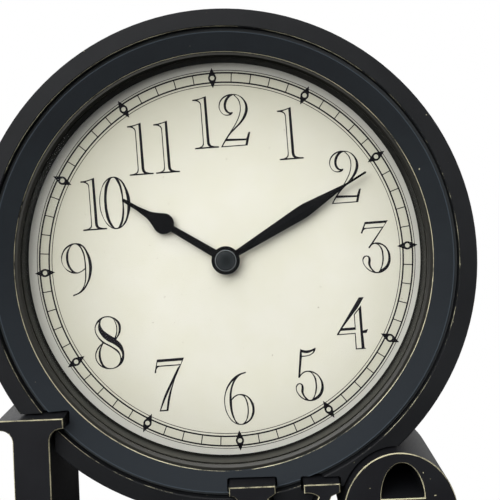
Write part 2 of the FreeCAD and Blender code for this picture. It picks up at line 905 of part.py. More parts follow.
def make_battery():
    x0 = axis_x - (battery_length + battery_nub_length) / 2
    along = Vec(1, 0, 0)
    can = Part.makeCylinder(battery_radius, battery_length, Vec(x0, battery_y, battery_z), along)
    rims = [e for e in can.Edges if e.Curve.TypeId == "Part::GeomCircle"]
    can = can.makeFillet(battery_nub_length / 3, rims)
    nub = Part.makeCylinder(battery_nub_radius, battery_nub_length,
                            Vec(x0 + battery_length, battery_y, battery_z), along)
    return can.fuse(nub).removeSplitter()


def contact_plate(x0, x1):
    return block(x0, x1, battery_y - contact_half, battery_y + contact_half,
                 battery_z - contact_half, battery_z + contact_half)


def make_contact_positive():
    face_x = axis_x + (battery_length + battery_nub_length) / 2 + contact_play
    return contact_plate(face_x, axis_x + case_half - case_wall)


def make_contact_negative():
    face_x = axis_x - (battery_length + battery_nub_length) / 2 - contact_play
    return contact_plate(axis_x - case_half + case_wall, face_x)


# The train from the rotor to the centre wheel

train_phase = 0.0


def wheel_with_pinion(place, wheel_teeth, wheel_layer, wheel_phase, pinion_layer, pinion_phase):
    # The pinion's teeth run from its own layer up to the wheel, so the two are one moulding.
    wheel_y = layer(wheel_layer)
    pinion_y = layer(pinion_layer)
    wheel = gear(wheel_teeth, train_module, -pinion_shift_share, wheel_phase, 0, wheel_y,
                 wheel_y + wheel_thickness, place[0], place[1])
    pinion = gear(pinion_teeth, train_module, pinion_shift_share, pinion_phase, 0, pinion_y,
                  wheel_y, place[0], place[1])
    return wheel.fuse(pinion)


def arbor(place, y0, y1):
    return disc(arbor_radius, y0, y1, place[0], place[1])


centre_wheel_phase = train_phase
third_pinion_phase = meshed_phase(centre_wheel_phase, centre_teeth, pinion_teeth, third_direction)
third_wheel_phase = train_phase
second_pinion_phase = meshed_phase(third_wheel_phase, third_teeth, pinion_teeth, second_direction)
second_wheel_phase = train_phase
fifth_pinion_phase = meshed_phase(second_wheel_phase, second_teeth, pinion_teeth, fifth_direction)
fifth_wheel_phase = train_phase
rotor_pinion_phase = meshed_phase(fifth_wheel_phase, fifth_teeth, pinion_teeth, rotor_direction)
pivot_length = case_plate / 2 - pivot_gap


def make_centre_wheel():
    wheel_y = layer(centre_layer)
    wheel = gear(centre_teeth, train_module, -pinion_shift_share, centre_wheel_phase, 0, wheel_y,
                 wheel_y + wheel_thickness, axis_x, axis_z)
    spigot = disc(cannon_bore - pivot_gap, layer(cannon_layer), wheel_y, axis_x, axis_z)
    tail = arbor(centre_place, wheel_y, case_back_inner_y - running_gap)
    return wheel.fuse([spigot, tail]).removeSplitter()


def make_third_wheel():
    body = wheel_with_pinion(third_place, third_teeth, third_layer, third_wheel_phase,
                             centre_layer, third_pinion_phase)
    return body.fuse(arbor(third_place, case_inner_y - pivot_length, case_back_inner_y - running_gap))


def make_second_wheel():
    body = wheel_with_pinion(second_place, second_teeth, second_layer, second_wheel_phase,
                             third_layer, second_pinion_phase)
    return body.fuse(arbor(second_place, case_inner_y + running_gap, layer(second_layer) + wheel_thickness))


def make_fifth_wheel():
    body = wheel_with_pinion(fifth_place, fifth_teeth, fifth_layer, fifth_wheel_phase,
                             second_layer, fifth_pinion_phase)
    return body.fuse(arbor(fifth_place, case_inner_y - pivot_length, case_back_inner_y - running_gap))


def make_rotor():
    pinion_y = layer(fifth_layer)
    magnet_y = layer(magnet_layer)
    pinion = gear(pinion_teeth, train_module, pinion_shift_share, rotor_pinion_phase, 0, pinion_y,
                  magnet_y, rotor_place[0], rotor_place[1])
    magnet = disc(magnet_radius, magnet_y, magnet_y + magnet_length, rotor_place[0], rotor_place[1])
    spindle = arbor(rotor_place, case_inner_y - pivot_length, case_back_inner_y - running_gap)
    return pinion.fuse([magnet, spindle])


# The motion work: cannon pinion, motion wheel with the set knob, and hour wheel

cannon_phase = 0.0
motion_pinion_phase = 0.0
motion_wheel_phase = meshed_phase(cannon_phase, cannon_teeth, motion_teeth, motion_direction)
hour_wheel_phase = meshed_phase(motion_pinion_phase, motion_pinion_teeth, hour_teeth,
                                motion_direction + math.pi)


def make_minute_cannon():
    y0 = layer(cannon_layer)
    pinion = gear(cannon_teeth, motion_module, pinion_shift_share, cannon_phase, 0, y0,
                  y0 + motion_thickness, axis_x, axis_z)
    tube = disc(cannon_radius, minute_hand_front_y, y0, axis_x, axis_z)
    bore = disc(cannon_bore, y0 - motion_thickness, y0 + overrun, axis_x, axis_z)
    return pinion.fuse(tube).removeSplitter().cut(bore)


def make_motion_wheel():
    wheel_y = layer(motion_layer)
    pinion_y = layer(hour_layer)
    wheel = gear(motion_teeth, motion_module, -pinion_shift_share, motion_wheel_phase, 0, wheel_y,
                 wheel_y + motion_thickness, motion_place[0], motion_place[1])
    pinion = gear(motion_pinion_teeth, hour_module, pinion_shift_share, motion_pinion_phase, 0,
                  pinion_y, wheel_y, motion_place[0], motion_place[1])
    pivot = arbor(motion_place, case_inner_y - pivot_length, pinion_y)
    tail = disc(knob_arbor_radius, wheel_y, case_back_y + knob_gap, motion_place[0], motion_place[1])
    return wheel.fuse([pinion, pivot, tail])


def make_set_knob():
    y0 = case_back_y + knob_gap
    x, z = motion_place
    body = disc(knob_radius, y0, y0 + knob_thickness, x, z)
    flutes = []
    for number in range(knob_flutes):
        angle = 2 * math.pi * number / knob_flutes
        flutes.append(disc(knob_flute_radius, y0 - overrun, y0 + knob_thickness + overrun,
                           x + knob_radius * math.cos(angle), z + knob_radius * math.sin(angle)))
    return body.cut(flutes)


def make_hour_wheel():
    y0 = layer(hour_layer)
    wheel = gear(hour_teeth, hour_module, -pinion_shift_share, hour_wheel_phase, 0, y0,
                 y0 + motion_thickness, axis_x, axis_z)
    tube = disc(hour_tube_radius, hour_hand_front_y, y0, axis_x, axis_z)
    bore = disc(cannon_radius + pivot_gap, hour_hand_front_y - overrun, y0 + overrun, axis_x, axis_z)
    return wheel.fuse(tube).removeSplitter().cut(bore)


# Fixing on the dial: washers and a nut on the bush

def make_rubber_washer():
    return ring(case_half / 2, bush_radius + hole_play, board_back_y, case_y, axis_x, axis_z)


def make_nut_washer():
    y0 = dial_y - nut_washer_thickness
    return ring(nut_across / 2 + nut_washer_thickness, bush_radius + running_gap, y0, dial_y, axis_x, axis_z)


def make_mounting_nut():
    y1 = dial_y - nut_washer_thickness
    y0 = y1 - nut_thickness + edge_break / 2
    corner = nut_across / 2 / math.cos(math.pi / 6)
    points = []
    for number in range(6):
        angle = math.pi / 3 * number
        points.append((axis_x + corner * math.cos(angle), axis_z + corner * math.sin(angle)))
    hexagon = prism(outline(points[0], points[1:], y0), y0, y1)
    return hexagon.cut(disc(bush_radius + running_gap, y0 - overrun, y1 + overrun, axis_x, axis_z))


# Hands: flat black metal, set as in the photograph at nine minutes past ten

hour_hand_length = 61.8
hour_hand_angle = 57.5
hour_hub_radius = 6.6
hour_root_half = 2.15
hour_neck_half = 1.6
hour_bulb_at = 37.1
hour_bulb_radius = 5.4
hour_flare_at = 39.9
hour_flare_half = 4.62
hour_taper_at = 46.0
hour_taper_half = 1.95
hour_slim_at = 52.5
hour_slim_half = 1.1
hour_tip_half = 0.85
minute_hand_length = 85.2
minute_hand_angle = -60.1
minute_hub_radius = 6.9
minute_root_half = 1.3
minute_waist_at = 28.0
minute_waist_half = 2.65
minute_broad_at = 48.5
minute_broad_half = 3.5
minute_needle_at = 73.0
minute_needle_half = 0.55


def mirrored_hand(half_points, tip, y0, y1):
    # The outline runs from root to tip on one side and back on the other, pointing up.
    right = [(half, along) for along, half in half_points]
    left = [(-half, along) for along, half in reversed(half_points)]
    moves = right[1:] + [(0, tip)] + left
    return prism(outline(right[0], moves, y0), y0, y1)


def set_hand(body, angle):
    body.translate(Vec(axis_x, 0, axis_z))
    body.rotate(Vec(axis_x, 0, axis_z), BACK, -angle)
    return body


def make_hour_hand():
    y0 = hour_hand_front_y
    y1 = hour_hand_back_y
    neck_at = hour_bulb_at - math.sqrt(hour_bulb_radius ** 2 - hour_neck_half ** 2)
    stem = outline((hour_root_half, 0), [(hour_neck_half, neck_at + hour_bulb_radius / 2),
                                         (-hour_neck_half, neck_at + hour_bulb_radius / 2),
                                         (-hour_root_half, 0)], y0)
    flare_curve_share = 0.56
    curve_half = hour_taper_half + (hour_flare_half - hour_taper_half) * (1 - flare_curve_share)
    curve_at = (hour_flare_at + hour_taper_at) / 2
    flare = outline((hour_flare_half, hour_flare_at), [
        ((curve_half, curve_at), (hour_taper_half, hour_taper_at)),
        (hour_slim_half, hour_slim_at),
        (hour_tip_half, hour_hand_length - hour_tip_half),
        ((0, hour_hand_length), (-hour_tip_half, hour_hand_length - hour_tip_half)),
        (-hour_slim_half, hour_slim_at),
        (-hour_taper_half, hour_taper_at),
        ((-curve_half, curve_at), (-hour_flare_half, hour_flare_at)),
    ], y0)
    body = disc(hour_hub_radius, y0, y1).fuse([
        prism(stem, y0, y1),
        disc(hour_bulb_radius, y0, y1, 0, hour_bulb_at),
        prism(flare, y0, y1),
    ]).removeSplitter()
    body = body.cut(disc(hour_tube_radius, y0 - overrun, y1 + overrun))
    return set_hand(body, hour_hand_angle)


def make_minute_hand():
    # A flat leaf with a raised ridge along its middle, worked as a low roof over the outline.
    y0 = minute_hand_front_y
    y1 = minute_hand_back_y
    half_points = [
        (0, minute_root_half),
        (minute_waist_at, minute_waist_half),
        (minute_broad_at - minute_broad_half, minute_broad_half),
        (minute_broad_at, minute_broad_half),
        (minute_needle_at, minute_needle_half),
        (minute_hand_length - minute_needle_half, minute_needle_half),
    ]
    leaf = mirrored_hand(half_points, minute_hand_length, y0 - minute_ridge, y1)
    for side in (-1, 1):
        ridge_line = Vec(0, y0 - minute_ridge, 0)
        away = Vec(side * 2 * minute_broad_half, y0 + minute_ridge, 0)
        high = Vec(side * 2 * minute_broad_half, y0 - 2 * overrun, 0)
        top = Vec(0, y0 - 2 * overrun, 0)
        wedge = Part.Face(Part.makePolygon([ridge_line, away, high, top, ridge_line]))
        leaf = leaf.cut(wedge.extrude(Vec(0, 0, minute_hand_length + overrun)))
    hub = disc(minute_hub_radius, y0 - minute_ridge, y1)
    body = leaf.fuse(hub).removeSplitter()
    body = body.cut(disc(cannon_radius, y0, y1 + overrun))
    return set_hand(body, minute_hand_angle)


def make_hand_cap():
    rim_y = cap_back_y - cap_rim_thickness
    disc_y = rim_y - cap_disc_height
    dome_radius = (cap_disc_radius ** 2 + cap_dome ** 2) / (2 * cap_dome)
    rim = disc(cap_rim_radius, rim_y, cap_back_y, axis_x, axis_z)
    button = disc(cap_disc_radius, disc_y, rim_y, axis_x, axis_z)
    dome = Part.makeSphere(dome_radius, Vec(axis_x, disc_y + dome_radius, axis_z))
    return rim.fuse(button.common(dome)).removeSplitter()


# Pendulum drive: a coil in a small case on the dial board, which kicks a magnet on the hanger

drive_half_width = 20.0
drive_top_drop = 38.0
drive_bottom_drop = 68.0
drive_split = 5.0
drive_wall = 1.2
drive_corner = 3.0
drive_coil_radius = 7.0
drive_coil_bore = 2.5
drive_coil_drop = 59.0
pin_radius = 1.0
pin_seat = 4.0
pin_head_radius = 1.8
pin_head_thickness = 0.8
hanger_half_width = 4.0
hanger_top = 4.0
hanger_length = 18.0
hanger_magnet_radius = 3.0
hanger_magnet_thickness = 1.4
rod_top_drop = 53.5
rod_end_share = 0.25
bob_radius = 12.0
bob_thickness = 6.0
bob_edge = 1.2
bob_height = 18.5
bob_screw_radius = 3.0
bob_screw_height = 2.0
bob_screw_shank = 1.2
drive_front_y = board_back_y
drive_split_y = drive_front_y + drive_split


def drive_box(y0, y1, shrink):
    return rounded_block(pendulum_x - drive_half_width + shrink, pendulum_x + drive_half_width - shrink,
                         y0, y1, drum_height - drive_bottom_drop + shrink,
                         drum_height - drive_top_drop - shrink, drive_corner - shrink)


def make_drive_front_case():
    return drive_box(drive_front_y, drive_split_y, 0).cut(
        drive_box(drive_front_y + drive_wall, drive_split_y + overrun, drive_wall))


def make_drive_back_case():
    body = drive_box(drive_split_y, drive_back_y, 0).cut(
        drive_box(drive_split_y - overrun, drive_back_y - drive_wall, drive_wall))
    post = disc(2 * pin_radius, drive_split_y, drive_back_y, pendulum_x, pivot_z)
    socket = disc(pin_radius + running_gap, drive_back_y - pin_seat, drive_back_y + overrun,
                  pendulum_x, pivot_z)
    return body.fuse(post).removeSplitter().cut(socket)


def make_drive_coil():
    z = drum_height - drive_coil_drop
    return ring(drive_coil_radius, drive_coil_bore, drive_front_y + drive_wall,
                drive_back_y - drive_wall - running_gap, pendulum_x, z)


def make_pivot_pin():
    head_y = drive_back_y + 2 * hanger_gap + hanger_thickness + rod_thickness
    pin = disc(pin_radius, drive_back_y - pin_seat + running_gap, head_y, pendulum_x, pivot_z)
    head = disc(pin_head_radius, head_y, head_y + pin_head_thickness, pendulum_x, pivot_z)
    return pin.fuse(head).removeSplitter()


def make_pendulum_hanger():
    y0 = drive_back_y + hanger_gap
    y1 = y0 + hanger_thickness
    body = rounded_block(pendulum_x - hanger_half_width, pendulum_x + hanger_half_width, y0, y1,
                         pivot_z - hanger_length, pivot_z + hanger_top, hanger_half_width / 2)
    hole = disc(pin_radius + pivot_gap, y0 - overrun, y1 + overrun, pendulum_x, pivot_z)
    pocket = disc(hanger_magnet_radius + running_gap, y0 - overrun,
                  y0 + hanger_magnet_thickness, pendulum_x, drum_height - drive_coil_drop)
    return body.cut([hole, pocket])


def make_hanger_magnet():
    y0 = drive_back_y + hanger_gap
    return disc(hanger_magnet_radius, y0, y0 + hanger_magnet_thickness, pendulum_x,
                drum_height - drive_coil_drop)


def make_pendulum_rod():
    bottom = bob_height - bob_radius * rod_end_share
    return block(pendulum_x - rod_width / 2, pendulum_x + rod_width / 2, rod_y, rod_y + rod_thickness,
                 bottom, drum_height - rod_top_drop)


def make_pendulum_bob():
    middle = rod_y + rod_thickness / 2
    z = bob_height
    half = bob_thickness / 2
    edge = bob_edge / 2
    rim_from = bob_radius - bob_edge
    drop = half - bob_edge
    points = [Vec(pendulum_x, middle - half, z), Vec(pendulum_x + rim_from, middle - bob_edge, z),
              Vec(pendulum_x + bob_radius, middle - edge, z), Vec(pendulum_x + bob_radius, middle + edge, z),
              Vec(pendulum_x + rim_from, middle + bob_edge, z), Vec(pendulum_x, middle + half, z)]
    halfway = rim_from / 2
    crown_front = Part.Arc(points[0], Vec(pendulum_x + halfway, middle - half + drop / 4, z), points[1])
    crown_back = Part.Arc(points[4], Vec(pendulum_x + halfway, middle + half - drop / 4, z), points[5])
    edges = [crown_front.toShape()]
    for number in (1, 2, 3):
        edges.append(Part.LineSegment(points[number], points[number + 1]).toShape())
    edges.append(crown_back.toShape())
    edges.append(Part.LineSegment(points[5], points[0]).toShape())
    body = Part.Face(Part.Wire(edges)).revolve(Vec(pendulum_x, 0, z), BACK, 360)
    bottom = z - bob_radius * rod_end_share
    slot = block(pendulum_x - rod_width / 2 - running_gap, pendulum_x + rod_width / 2 + running_gap,
                 rod_y - running_gap, rod_y + rod_thickness + running_gap, bottom - running_gap,
                 z + bob_radius + overrun)
    tapped = disc(bob_screw_shank + running_gap, rod_y, rod_y + overrun, pendulum_x, z)
    return body.cut([slot, tapped])


def make_bob_screw():
    z = bob_height
    back = rod_y + rod_thickness / 2 + bob_thickness / 2
    shank = disc(bob_screw_shank, rod_y + rod_thickness, back, pendulum_x, z)
    head = disc(bob_screw_radius, back, back + bob_screw_height, pendulum_x, z)
    return shank.fuse(head).removeSplitter()


lead_radius = 0.6
lead_spacing = 1.8
lead_bend = 7.0
lead_drop = 18.0


def make_drive_leads():
    # Two insulated leads from the battery contacts down to the drive, each with one easy bend.
    start_x = axis_x - case_half
    start_z = axis_z - lead_drop
    end_z = drum_height - drive_top_drop
    leads = []
    for side in (-1, 1):
        y = drive_front_y + drive_split / 2 + side * lead_spacing / 2
        lean_share = math.sin(math.pi / 4)
        bend_x = pendulum_x + lead_bend
        middle = Vec(bend_x - lead_bend * lean_share, y, start_z - lead_bend * (1 - lean_share))
        path = Part.Wire([
            Part.LineSegment(Vec(start_x, y, start_z), Vec(bend_x, y, start_z)).toShape(),
            Part.Arc(Vec(bend_x, y, start_z), middle, Vec(pendulum_x, y, start_z - lead_bend)).toShape(),
            Part.LineSegment(Vec(pendulum_x, y, start_z - lead_bend), Vec(pendulum_x, y, end_z)).toShape(),
        ])
        section = Part.Wire([Part.Circle(Vec(start_x, y, start_z), Vec(-1, 0, 0), lead_radius).toShape()])
        leads.append(path.makePipeShell([section], True, False))
    return Part.makeCompound(leads)


def make_support(shape):
    return shape.cut(support_screw_holes())


pieces = {
    "drum_ring": make_drum_ring(),
    "bezel_ring": make_bezel_ring(),
    "lip_ring": make_lip_ring(),
    "lens": make_lens(),
    "lens_spacer": make_lens_spacer(),
    "dial_face": make_dial_face(),
    "dial_board": make_dial_board(),
    "corner_blocks": make_corner_blocks(),
    "back_panel": make_back_panel(),
    "back_panel_screws": make_back_panel_screws(),
    "left_column": make_support(make_left_column()),
    "centre_bracket": make_support(make_centre_bracket()),
    "right_ring": make_support(make_right_ring()),
    "right_ring_backs": make_right_ring_backs(),
    "support_screws": make_support_screws(),
    "foot_pads": make_foot_pads(),
    "movement_front_case": make_movement_front_case(),
    "movement_back_case": make_movement_back_case(),
    "rubber_washer": make_rubber_washer(),
    "nut_washer": make_nut_washer(),
    "mounting_nut": make_mounting_nut(),
    "circuit_board": make_circuit_board(),
    "quartz_crystal": make_quartz_crystal(),
    "stator": make_stator(),
    "coil_bobbin": make_coil_bobbin(),
    "coil_winding": make_coil_winding(),
    "battery": make_battery(),
    "contact_positive": make_contact_positive(),
    "contact_negative": make_contact_negative(),
    "rotor": make_rotor(),
    "fifth_wheel": make_fifth_wheel(),
    "second_wheel": make_second_wheel(),
    "third_wheel": make_third_wheel(),
    "centre_wheel": make_centre_wheel(),
    "minute_cannon": make_minute_cannon(),
    "motion_wheel": make_motion_wheel(),
    "set_knob": make_set_knob(),
    "hour_wheel": make_hour_wheel(),
    "hour_hand": make_hour_hand(),
    "minute_hand": make_minute_hand(),
    "hand_cap": make_hand_cap(),
    "drive_front_case": make_drive_front_case(),
    "drive_back_case": make_drive_back_case(),
    "drive_coil": make_drive_coil(),
    "drive_leads": make_drive_leads(),
    "pivot_pin": make_pivot_pin(),
    "pendulum_hanger": make_pendulum_hanger(),
    "hanger_magnet": make_hanger_magnet(),
    "pendulum_rod": make_pendulum_rod(),
    "pendulum_bob": make_pendulum_bob(),
    "bob_screw": make_bob_screw(),
}

os.makedirs("parts", exist_ok=True)
for node, shape in pieces.items():
    shape.exportStep(os.path.join("parts", node + ".step"))
    sound = all(solid.isValid() and solid.Volume > 0 for solid in shape.Solids)
    print(node, "solids", len(shape.Solids), "valid", sound, "volume", round(shape.Volume, 1))
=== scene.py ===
import bmesh
import bpy
import json
import math
from mathutils import Matrix, Vector


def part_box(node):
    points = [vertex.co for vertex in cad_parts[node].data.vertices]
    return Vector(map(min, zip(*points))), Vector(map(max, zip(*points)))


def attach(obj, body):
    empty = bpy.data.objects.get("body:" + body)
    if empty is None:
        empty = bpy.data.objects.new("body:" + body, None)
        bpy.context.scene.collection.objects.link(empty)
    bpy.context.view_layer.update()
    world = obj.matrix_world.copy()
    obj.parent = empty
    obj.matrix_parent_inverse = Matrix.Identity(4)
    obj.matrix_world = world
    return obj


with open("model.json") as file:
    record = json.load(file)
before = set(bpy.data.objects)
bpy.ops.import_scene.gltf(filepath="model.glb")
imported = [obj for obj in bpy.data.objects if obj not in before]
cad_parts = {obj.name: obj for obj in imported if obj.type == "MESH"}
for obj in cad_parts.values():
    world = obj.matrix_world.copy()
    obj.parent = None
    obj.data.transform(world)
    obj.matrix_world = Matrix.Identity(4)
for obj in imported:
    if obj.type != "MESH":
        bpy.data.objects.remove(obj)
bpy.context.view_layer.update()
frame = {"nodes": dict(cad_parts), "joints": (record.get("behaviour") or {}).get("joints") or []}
nodes = frame["nodes"]

# Drum
# The round case wall, cut from fibreboard, sealed and sprayed satin black.
# Handling has rubbed its front edges through to the pale gold sealer, in an uneven thin line.


def linear(code):
    shares = [int(code[i:i + 2], 16) / 255 for i in (1, 3, 5)]
    return [s / 12.92 if s <= 0.04045 else ((s + 0.055) / 1.055) ** 2.4 for s in shares] + [1.0]


def add(tree, kind, settings):
    # A setting is a property, or an input's name or number with a value or the output it links to.
    node = tree.nodes.new(kind)
    for name, value in settings.items():
        if isinstance(name, str) and name not in node.inputs:
            setattr(node, name, value)
    for name, value in settings.items():
        if isinstance(value, bpy.types.NodeSocket):
            tree.links.new(value, node.inputs[name])
        elif not isinstance(name, str) or name in node.inputs:
            node.inputs[name].default_value = value
    return node


def new_finish(name, settings):
    material = bpy.data.materials.new(name)
    material.use_nodes = True
    tree = material.node_tree
    shader = tree.nodes["Principled BSDF"]
    for socket, value in settings.items():
        shader.inputs[socket].default_value = value
    place = add(tree, "ShaderNodeTexCoord", {}).outputs["Object"]
    return material, tree, shader, place


def roughen(tree, shader, place, grain_mm, height_mm, detail=3.0):
    grain = add(tree, "ShaderNodeTexNoise", {"Vector": place, "Scale": 1000 / grain_mm, "Detail": detail})
    bump = add(tree, "ShaderNodeBump", {"Height": grain.outputs[0], "Strength": 1.0,
                                        "Distance": height_mm / 1000})
    tree.links.new(bump.outputs[0], shader.inputs["Normal"])
    return grain.outputs[0]


def vary_gloss(tree, shader, grain, smoothest, roughest):
    gloss = add(tree, "ShaderNodeMapRange", {"Value": grain, "To Min": smoothest, "To Max": roughest})
    tree.links.new(gloss.outputs[0], shader.inputs["Roughness"])


def mottle(tree, place, size_mm, dark, light, low=0.35, high=0.65):
    cloud = add(tree, "ShaderNodeTexNoise", {"Vector": place, "Scale": 1000 / size_mm, "Detail": 4.0})
    spread = add(tree, "ShaderNodeMapRange", {"Value": cloud.outputs[0], "From Min": low,
                                              "From Max": high})
    mixed = add(tree, "ShaderNodeMix", {"data_type": "RGBA", 0: spread.outputs[0],
                                        6: linear(dark), 7: linear(light)})
    return mixed.outputs[2]


def dress(material, *names):
    for name in names:
        for slot in nodes[name].material_slots:
            slot.material = material


def distance_from_axis(tree, place, axis_x, axis_z):
    moved = add(tree, "ShaderNodeMapping", {"Vector": place, "Scale": (1, 0, 1),
                                            "Location": (-axis_x, 0, -axis_z)})
    distance = add(tree, "ShaderNodeVectorMath", {"operation": "LENGTH", 0: moved.outputs[0]})
    return distance.outputs["Value"]


def facing(tree, axis):
    normal = add(tree, "ShaderNodeNewGeometry", {}).outputs["True Normal"]
    return add(tree, "ShaderNodeSeparateXYZ", {0: normal}).outputs[axis]


# Sizes in millimetres of the paint's clouds, its rubbed patches, how far they spread, and nicks.
cloud_mm = 30
patch_mm = 7
spread_mm = 45
nick_mm = 2.4
# An arris is found by how far it faces forwards: a flat front has 1 and a side 0.
arris_facing = 0.69
arris_margin = 0.21


def painted_board(name, dark, light, sealer, rubbed_from, rubbed_share, rubbed_line=None):
    # Sprayed paint gives a low sheen with a soft orange peel. The pale sealer shows where an arris
    # is rubbed or nicked, and rubbed_line, a radius and half a width, keeps that to a thin line.
    material, tree, shader, place = new_finish(name, {"IOR": 1.5, "Specular IOR Level": 0.14})
    lean = add(tree, "ShaderNodeMath", {"operation": "ABSOLUTE", 0: facing(tree, "Y")})
    on_arris = add(tree, "ShaderNodeMath", {"operation": "COMPARE", 0: lean.outputs[0],
                                            1: arris_facing, 2: arris_margin})
    patches = add(tree, "ShaderNodeTexNoise", {"Vector": place, "Scale": 1000 / patch_mm,
                                               "Detail": 6.0, "Roughness": 0.75})
    reach = add(tree, "ShaderNodeTexNoise", {"Vector": place, "Scale": 1000 / spread_mm, "Detail": 1.0})
    both = add(tree, "ShaderNodeMath", {"operation": "ADD", 0: patches.outputs[0], 1: reach.outputs[0]})
    kept = add(tree, "ShaderNodeMapRange", {"Value": both.outputs[0], "From Min": rubbed_from,
                                            "From Max": rubbed_from + 0.3, "To Max": rubbed_share})
    rubbed = add(tree, "ShaderNodeMath", {"operation": "MULTIPLY", 0: on_arris.outputs[0],
                                          1: kept.outputs[0]})
    if rubbed_line:
        radius = distance_from_axis(tree, place, 0.0, drum_axis_z)
        near = add(tree, "ShaderNodeMath", {"operation": "COMPARE", 0: radius, 1: rubbed_line[0],
                                            2: rubbed_line[1]})
        spots = add(tree, "ShaderNodeMapRange", {"Value": patches.outputs[0], "From Min": 0.66,
                                                 "From Max": 0.72})
        where = add(tree, "ShaderNodeMath", {"operation": "MAXIMUM", 0: near.outputs[0],
                                             1: spots.outputs[0]})
        rubbed = add(tree, "ShaderNodeMath", {"operation": "MULTIPLY", 0: rubbed.outputs[0],
                                              1: where.outputs[0]})
    chips = add(tree, "ShaderNodeTexNoise", {"Vector": place, "Scale": 1000 / nick_mm, "Detail": 1.0})
    nicks = add(tree, "ShaderNodeMapRange", {"Value": chips.outputs[0], "From Min": 0.80,
                                             "From Max": 0.83, "To Max": 0.7})
    bare = add(tree, "ShaderNodeMath", {"operation": "MAXIMUM", 0: rubbed.outputs[0],
                                        1: nicks.outputs[0]})
    colour = add(tree, "ShaderNodeMix", {"data_type": "RGBA", 0: bare.outputs[0],
                                         6: mottle(tree, place, cloud_mm, dark, light),
                                         7: linear(sealer)})
    tree.links.new(colour.outputs[2], shader.inputs["Base Color"])
    vary_gloss(tree, shader, roughen(tree, shader, place, 0.9, 0.02), 0.42, 0.6)
    return material, tree, shader, place, colour.outputs[2]


# The bezel is round about the drum's own axis, and no support changes its box.
bezel_low, bezel_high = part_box("bezel_ring")
drum_axis_z = (bezel_low.z + bezel_high.z) / 2
drum_line = (0.1182, 0.0001)
drum_paint = painted_board(
    "sprayed_fibreboard_black", "#151618", "#1b1c1e", "#c9c4a6", 0.97, 1.0, drum_line)[0]
dress(drum_paint, "drum_ring")

# Bezel
# A dished ring of the same board set inside the drum, sprayed a bluer slate black.
# Its inner edge carries the second pale line, and its outer arris a grey line that is a painted highlight.
# Its lower half, which faces up, is painted lighter as if lit from above, and the groove between it
# and the drum is painted lighter, standing in for light that reaches into it.

# Each line is its radius and half its width.
inner_line = (0.10595, 0.00013)
arris_highlight = (0.1156, 0.00022)
painted_light_groove = (0.1171, 0.0012)


def draw_line(tree, radius, line, under, colour):
    on_line = add(tree, "ShaderNodeMath", {"operation": "COMPARE", 0: radius, 1: line[0], 2: line[1]})
    drawn = add(tree, "ShaderNodeMix", {"data_type": "RGBA", 0: on_line.outputs[0], 6: under,
                                        7: linear(colour)})
    return drawn.outputs[2]


slate_paint, tree, shader, place, slate_colour = painted_board(
    "sprayed_fibreboard_slate", "#13171b", "#181d21", "#d2ccae", 0.78, 1.0, inner_line)
# Painted light: faces that turn upward are lightened, as if lit from above.
lit_from_above_share = add(tree, "ShaderNodeMapRange", {"Value": facing(tree, "Z"), "From Min": -0.12,
                                            "From Max": 0.22})
painted_light_colour = add(tree, "ShaderNodeMix", {"data_type": "RGBA", "blend_type": "LIGHTEN",
                                     0: lit_from_above_share.outputs[0], 6: slate_colour, 7: linear("#22272c")})
bezel_radius = distance_from_axis(tree, place, 0.0, drum_axis_z)
# Painted highlight: a lighter grey line on the outer arris.
arris_highlight_colour = draw_line(tree, bezel_radius, arris_highlight, painted_light_colour.outputs[2], "#363e45")
# Painted light: the groove is lightened, standing in for light that reaches into it.
groove_light_colour = draw_line(tree, bezel_radius, painted_light_groove, arris_highlight_colour, "#3a3d3f")
tree.links.new(groove_light_colour, shader.inputs["Base Color"])
dress(slate_paint, "bezel_ring")

# Supports
# Three blocks sawn from thick board: a serif column, a bracket and a barred ring.
# They are painted like the drum, and the pale sealer shows along their front arrises.

support_paint = painted_board(
    "sprayed_fibreboard_support", "#18181b", "#1d1e21", "#d2cba8", 0.78, 0.8)[0]
dress(support_paint, "left_column", "centre_bracket", "right_ring")


def colour_mottled(tree, shader, place, size_mm, dark, light):
    tree.links.new(mottle(tree, place, size_mm, dark, light), shader.inputs["Base Color"])


# The boards behind the ring are stained matt black, a dull black with a faint cloud.
dark_stain, tree, shader, place = new_finish("stained_board_matt_black", {"Roughness": 0.8})
colour_mottled(tree, shader, place, 14, "#151516", "#1e1e1f")
roughen(tree, shader, place, 1.2, 0.03)
dress(dark_stain, "right_ring_backs")

# Support screws and felt feet
# Zinc-plated wood screws go through the drum wall into each support, from inside.
# Round felt pads, cut from sheet, are glued under the supports.

# Zinc plate is a soft grey metal, clouded with duller spots.
zinc_plate, tree, shader, place = new_finish("zinc_plated_steel", {"Metallic": 1.0})
colour_mottled(tree, shader, place, 3, "#9c9a92", "#c2bfb4")
vary_gloss(tree, shader, roughen(tree, shader, place, 0.4, 0.01), 0.25, 0.5)
dress(zinc_plate, "support_screws", "back_panel_screws", "pivot_pin")

# Pressed wool is quite dull, with short fibres that catch a little light.
felt, tree, shader, place = new_finish(
    "pressed_wool_felt_black", {"Roughness": 1.0, "Sheen Weight": 0.5})
colour_mottled(tree, shader, place, 0.8, "#141415", "#2a2a2b")
roughen(tree, shader, place, 0.35, 0.12, 6.0)
dress(felt, "foot_pads")

# Dial
# Cream paper, printed in one black ink and glued to a fibreboard disc a little twisted.
# Towards the rim it is darker: partly browned by age, partly painted shade from the lip, deepest at
# the upper left. Age has also specked it finely. The track lies on a faint beige band, and the
# paper outside it, under the lip, is painted greyer as the lip's shade.

minute_turn = next(joint for joint in frame["joints"] if joint["name"] == "minute_turn")
hand_axis = Vector(minute_turn["pos_m"])
dial_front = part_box("dial_face")[0].y
# The darkening is centred low and right of the hand axis, so its painted shade is deepest at the upper
# left.
unbrowned_unshaded_middle = hand_axis + Vector((0.010, 0.0, -0.012))
shade_and_browning_start = 0.045
shade_and_browning_end = 0.108
track_middle = 0.0942
track_half_width = 0.0024
lip_shade_start = 0.0965
lip_shade_end = 0.0985
speck_mm = 2.2

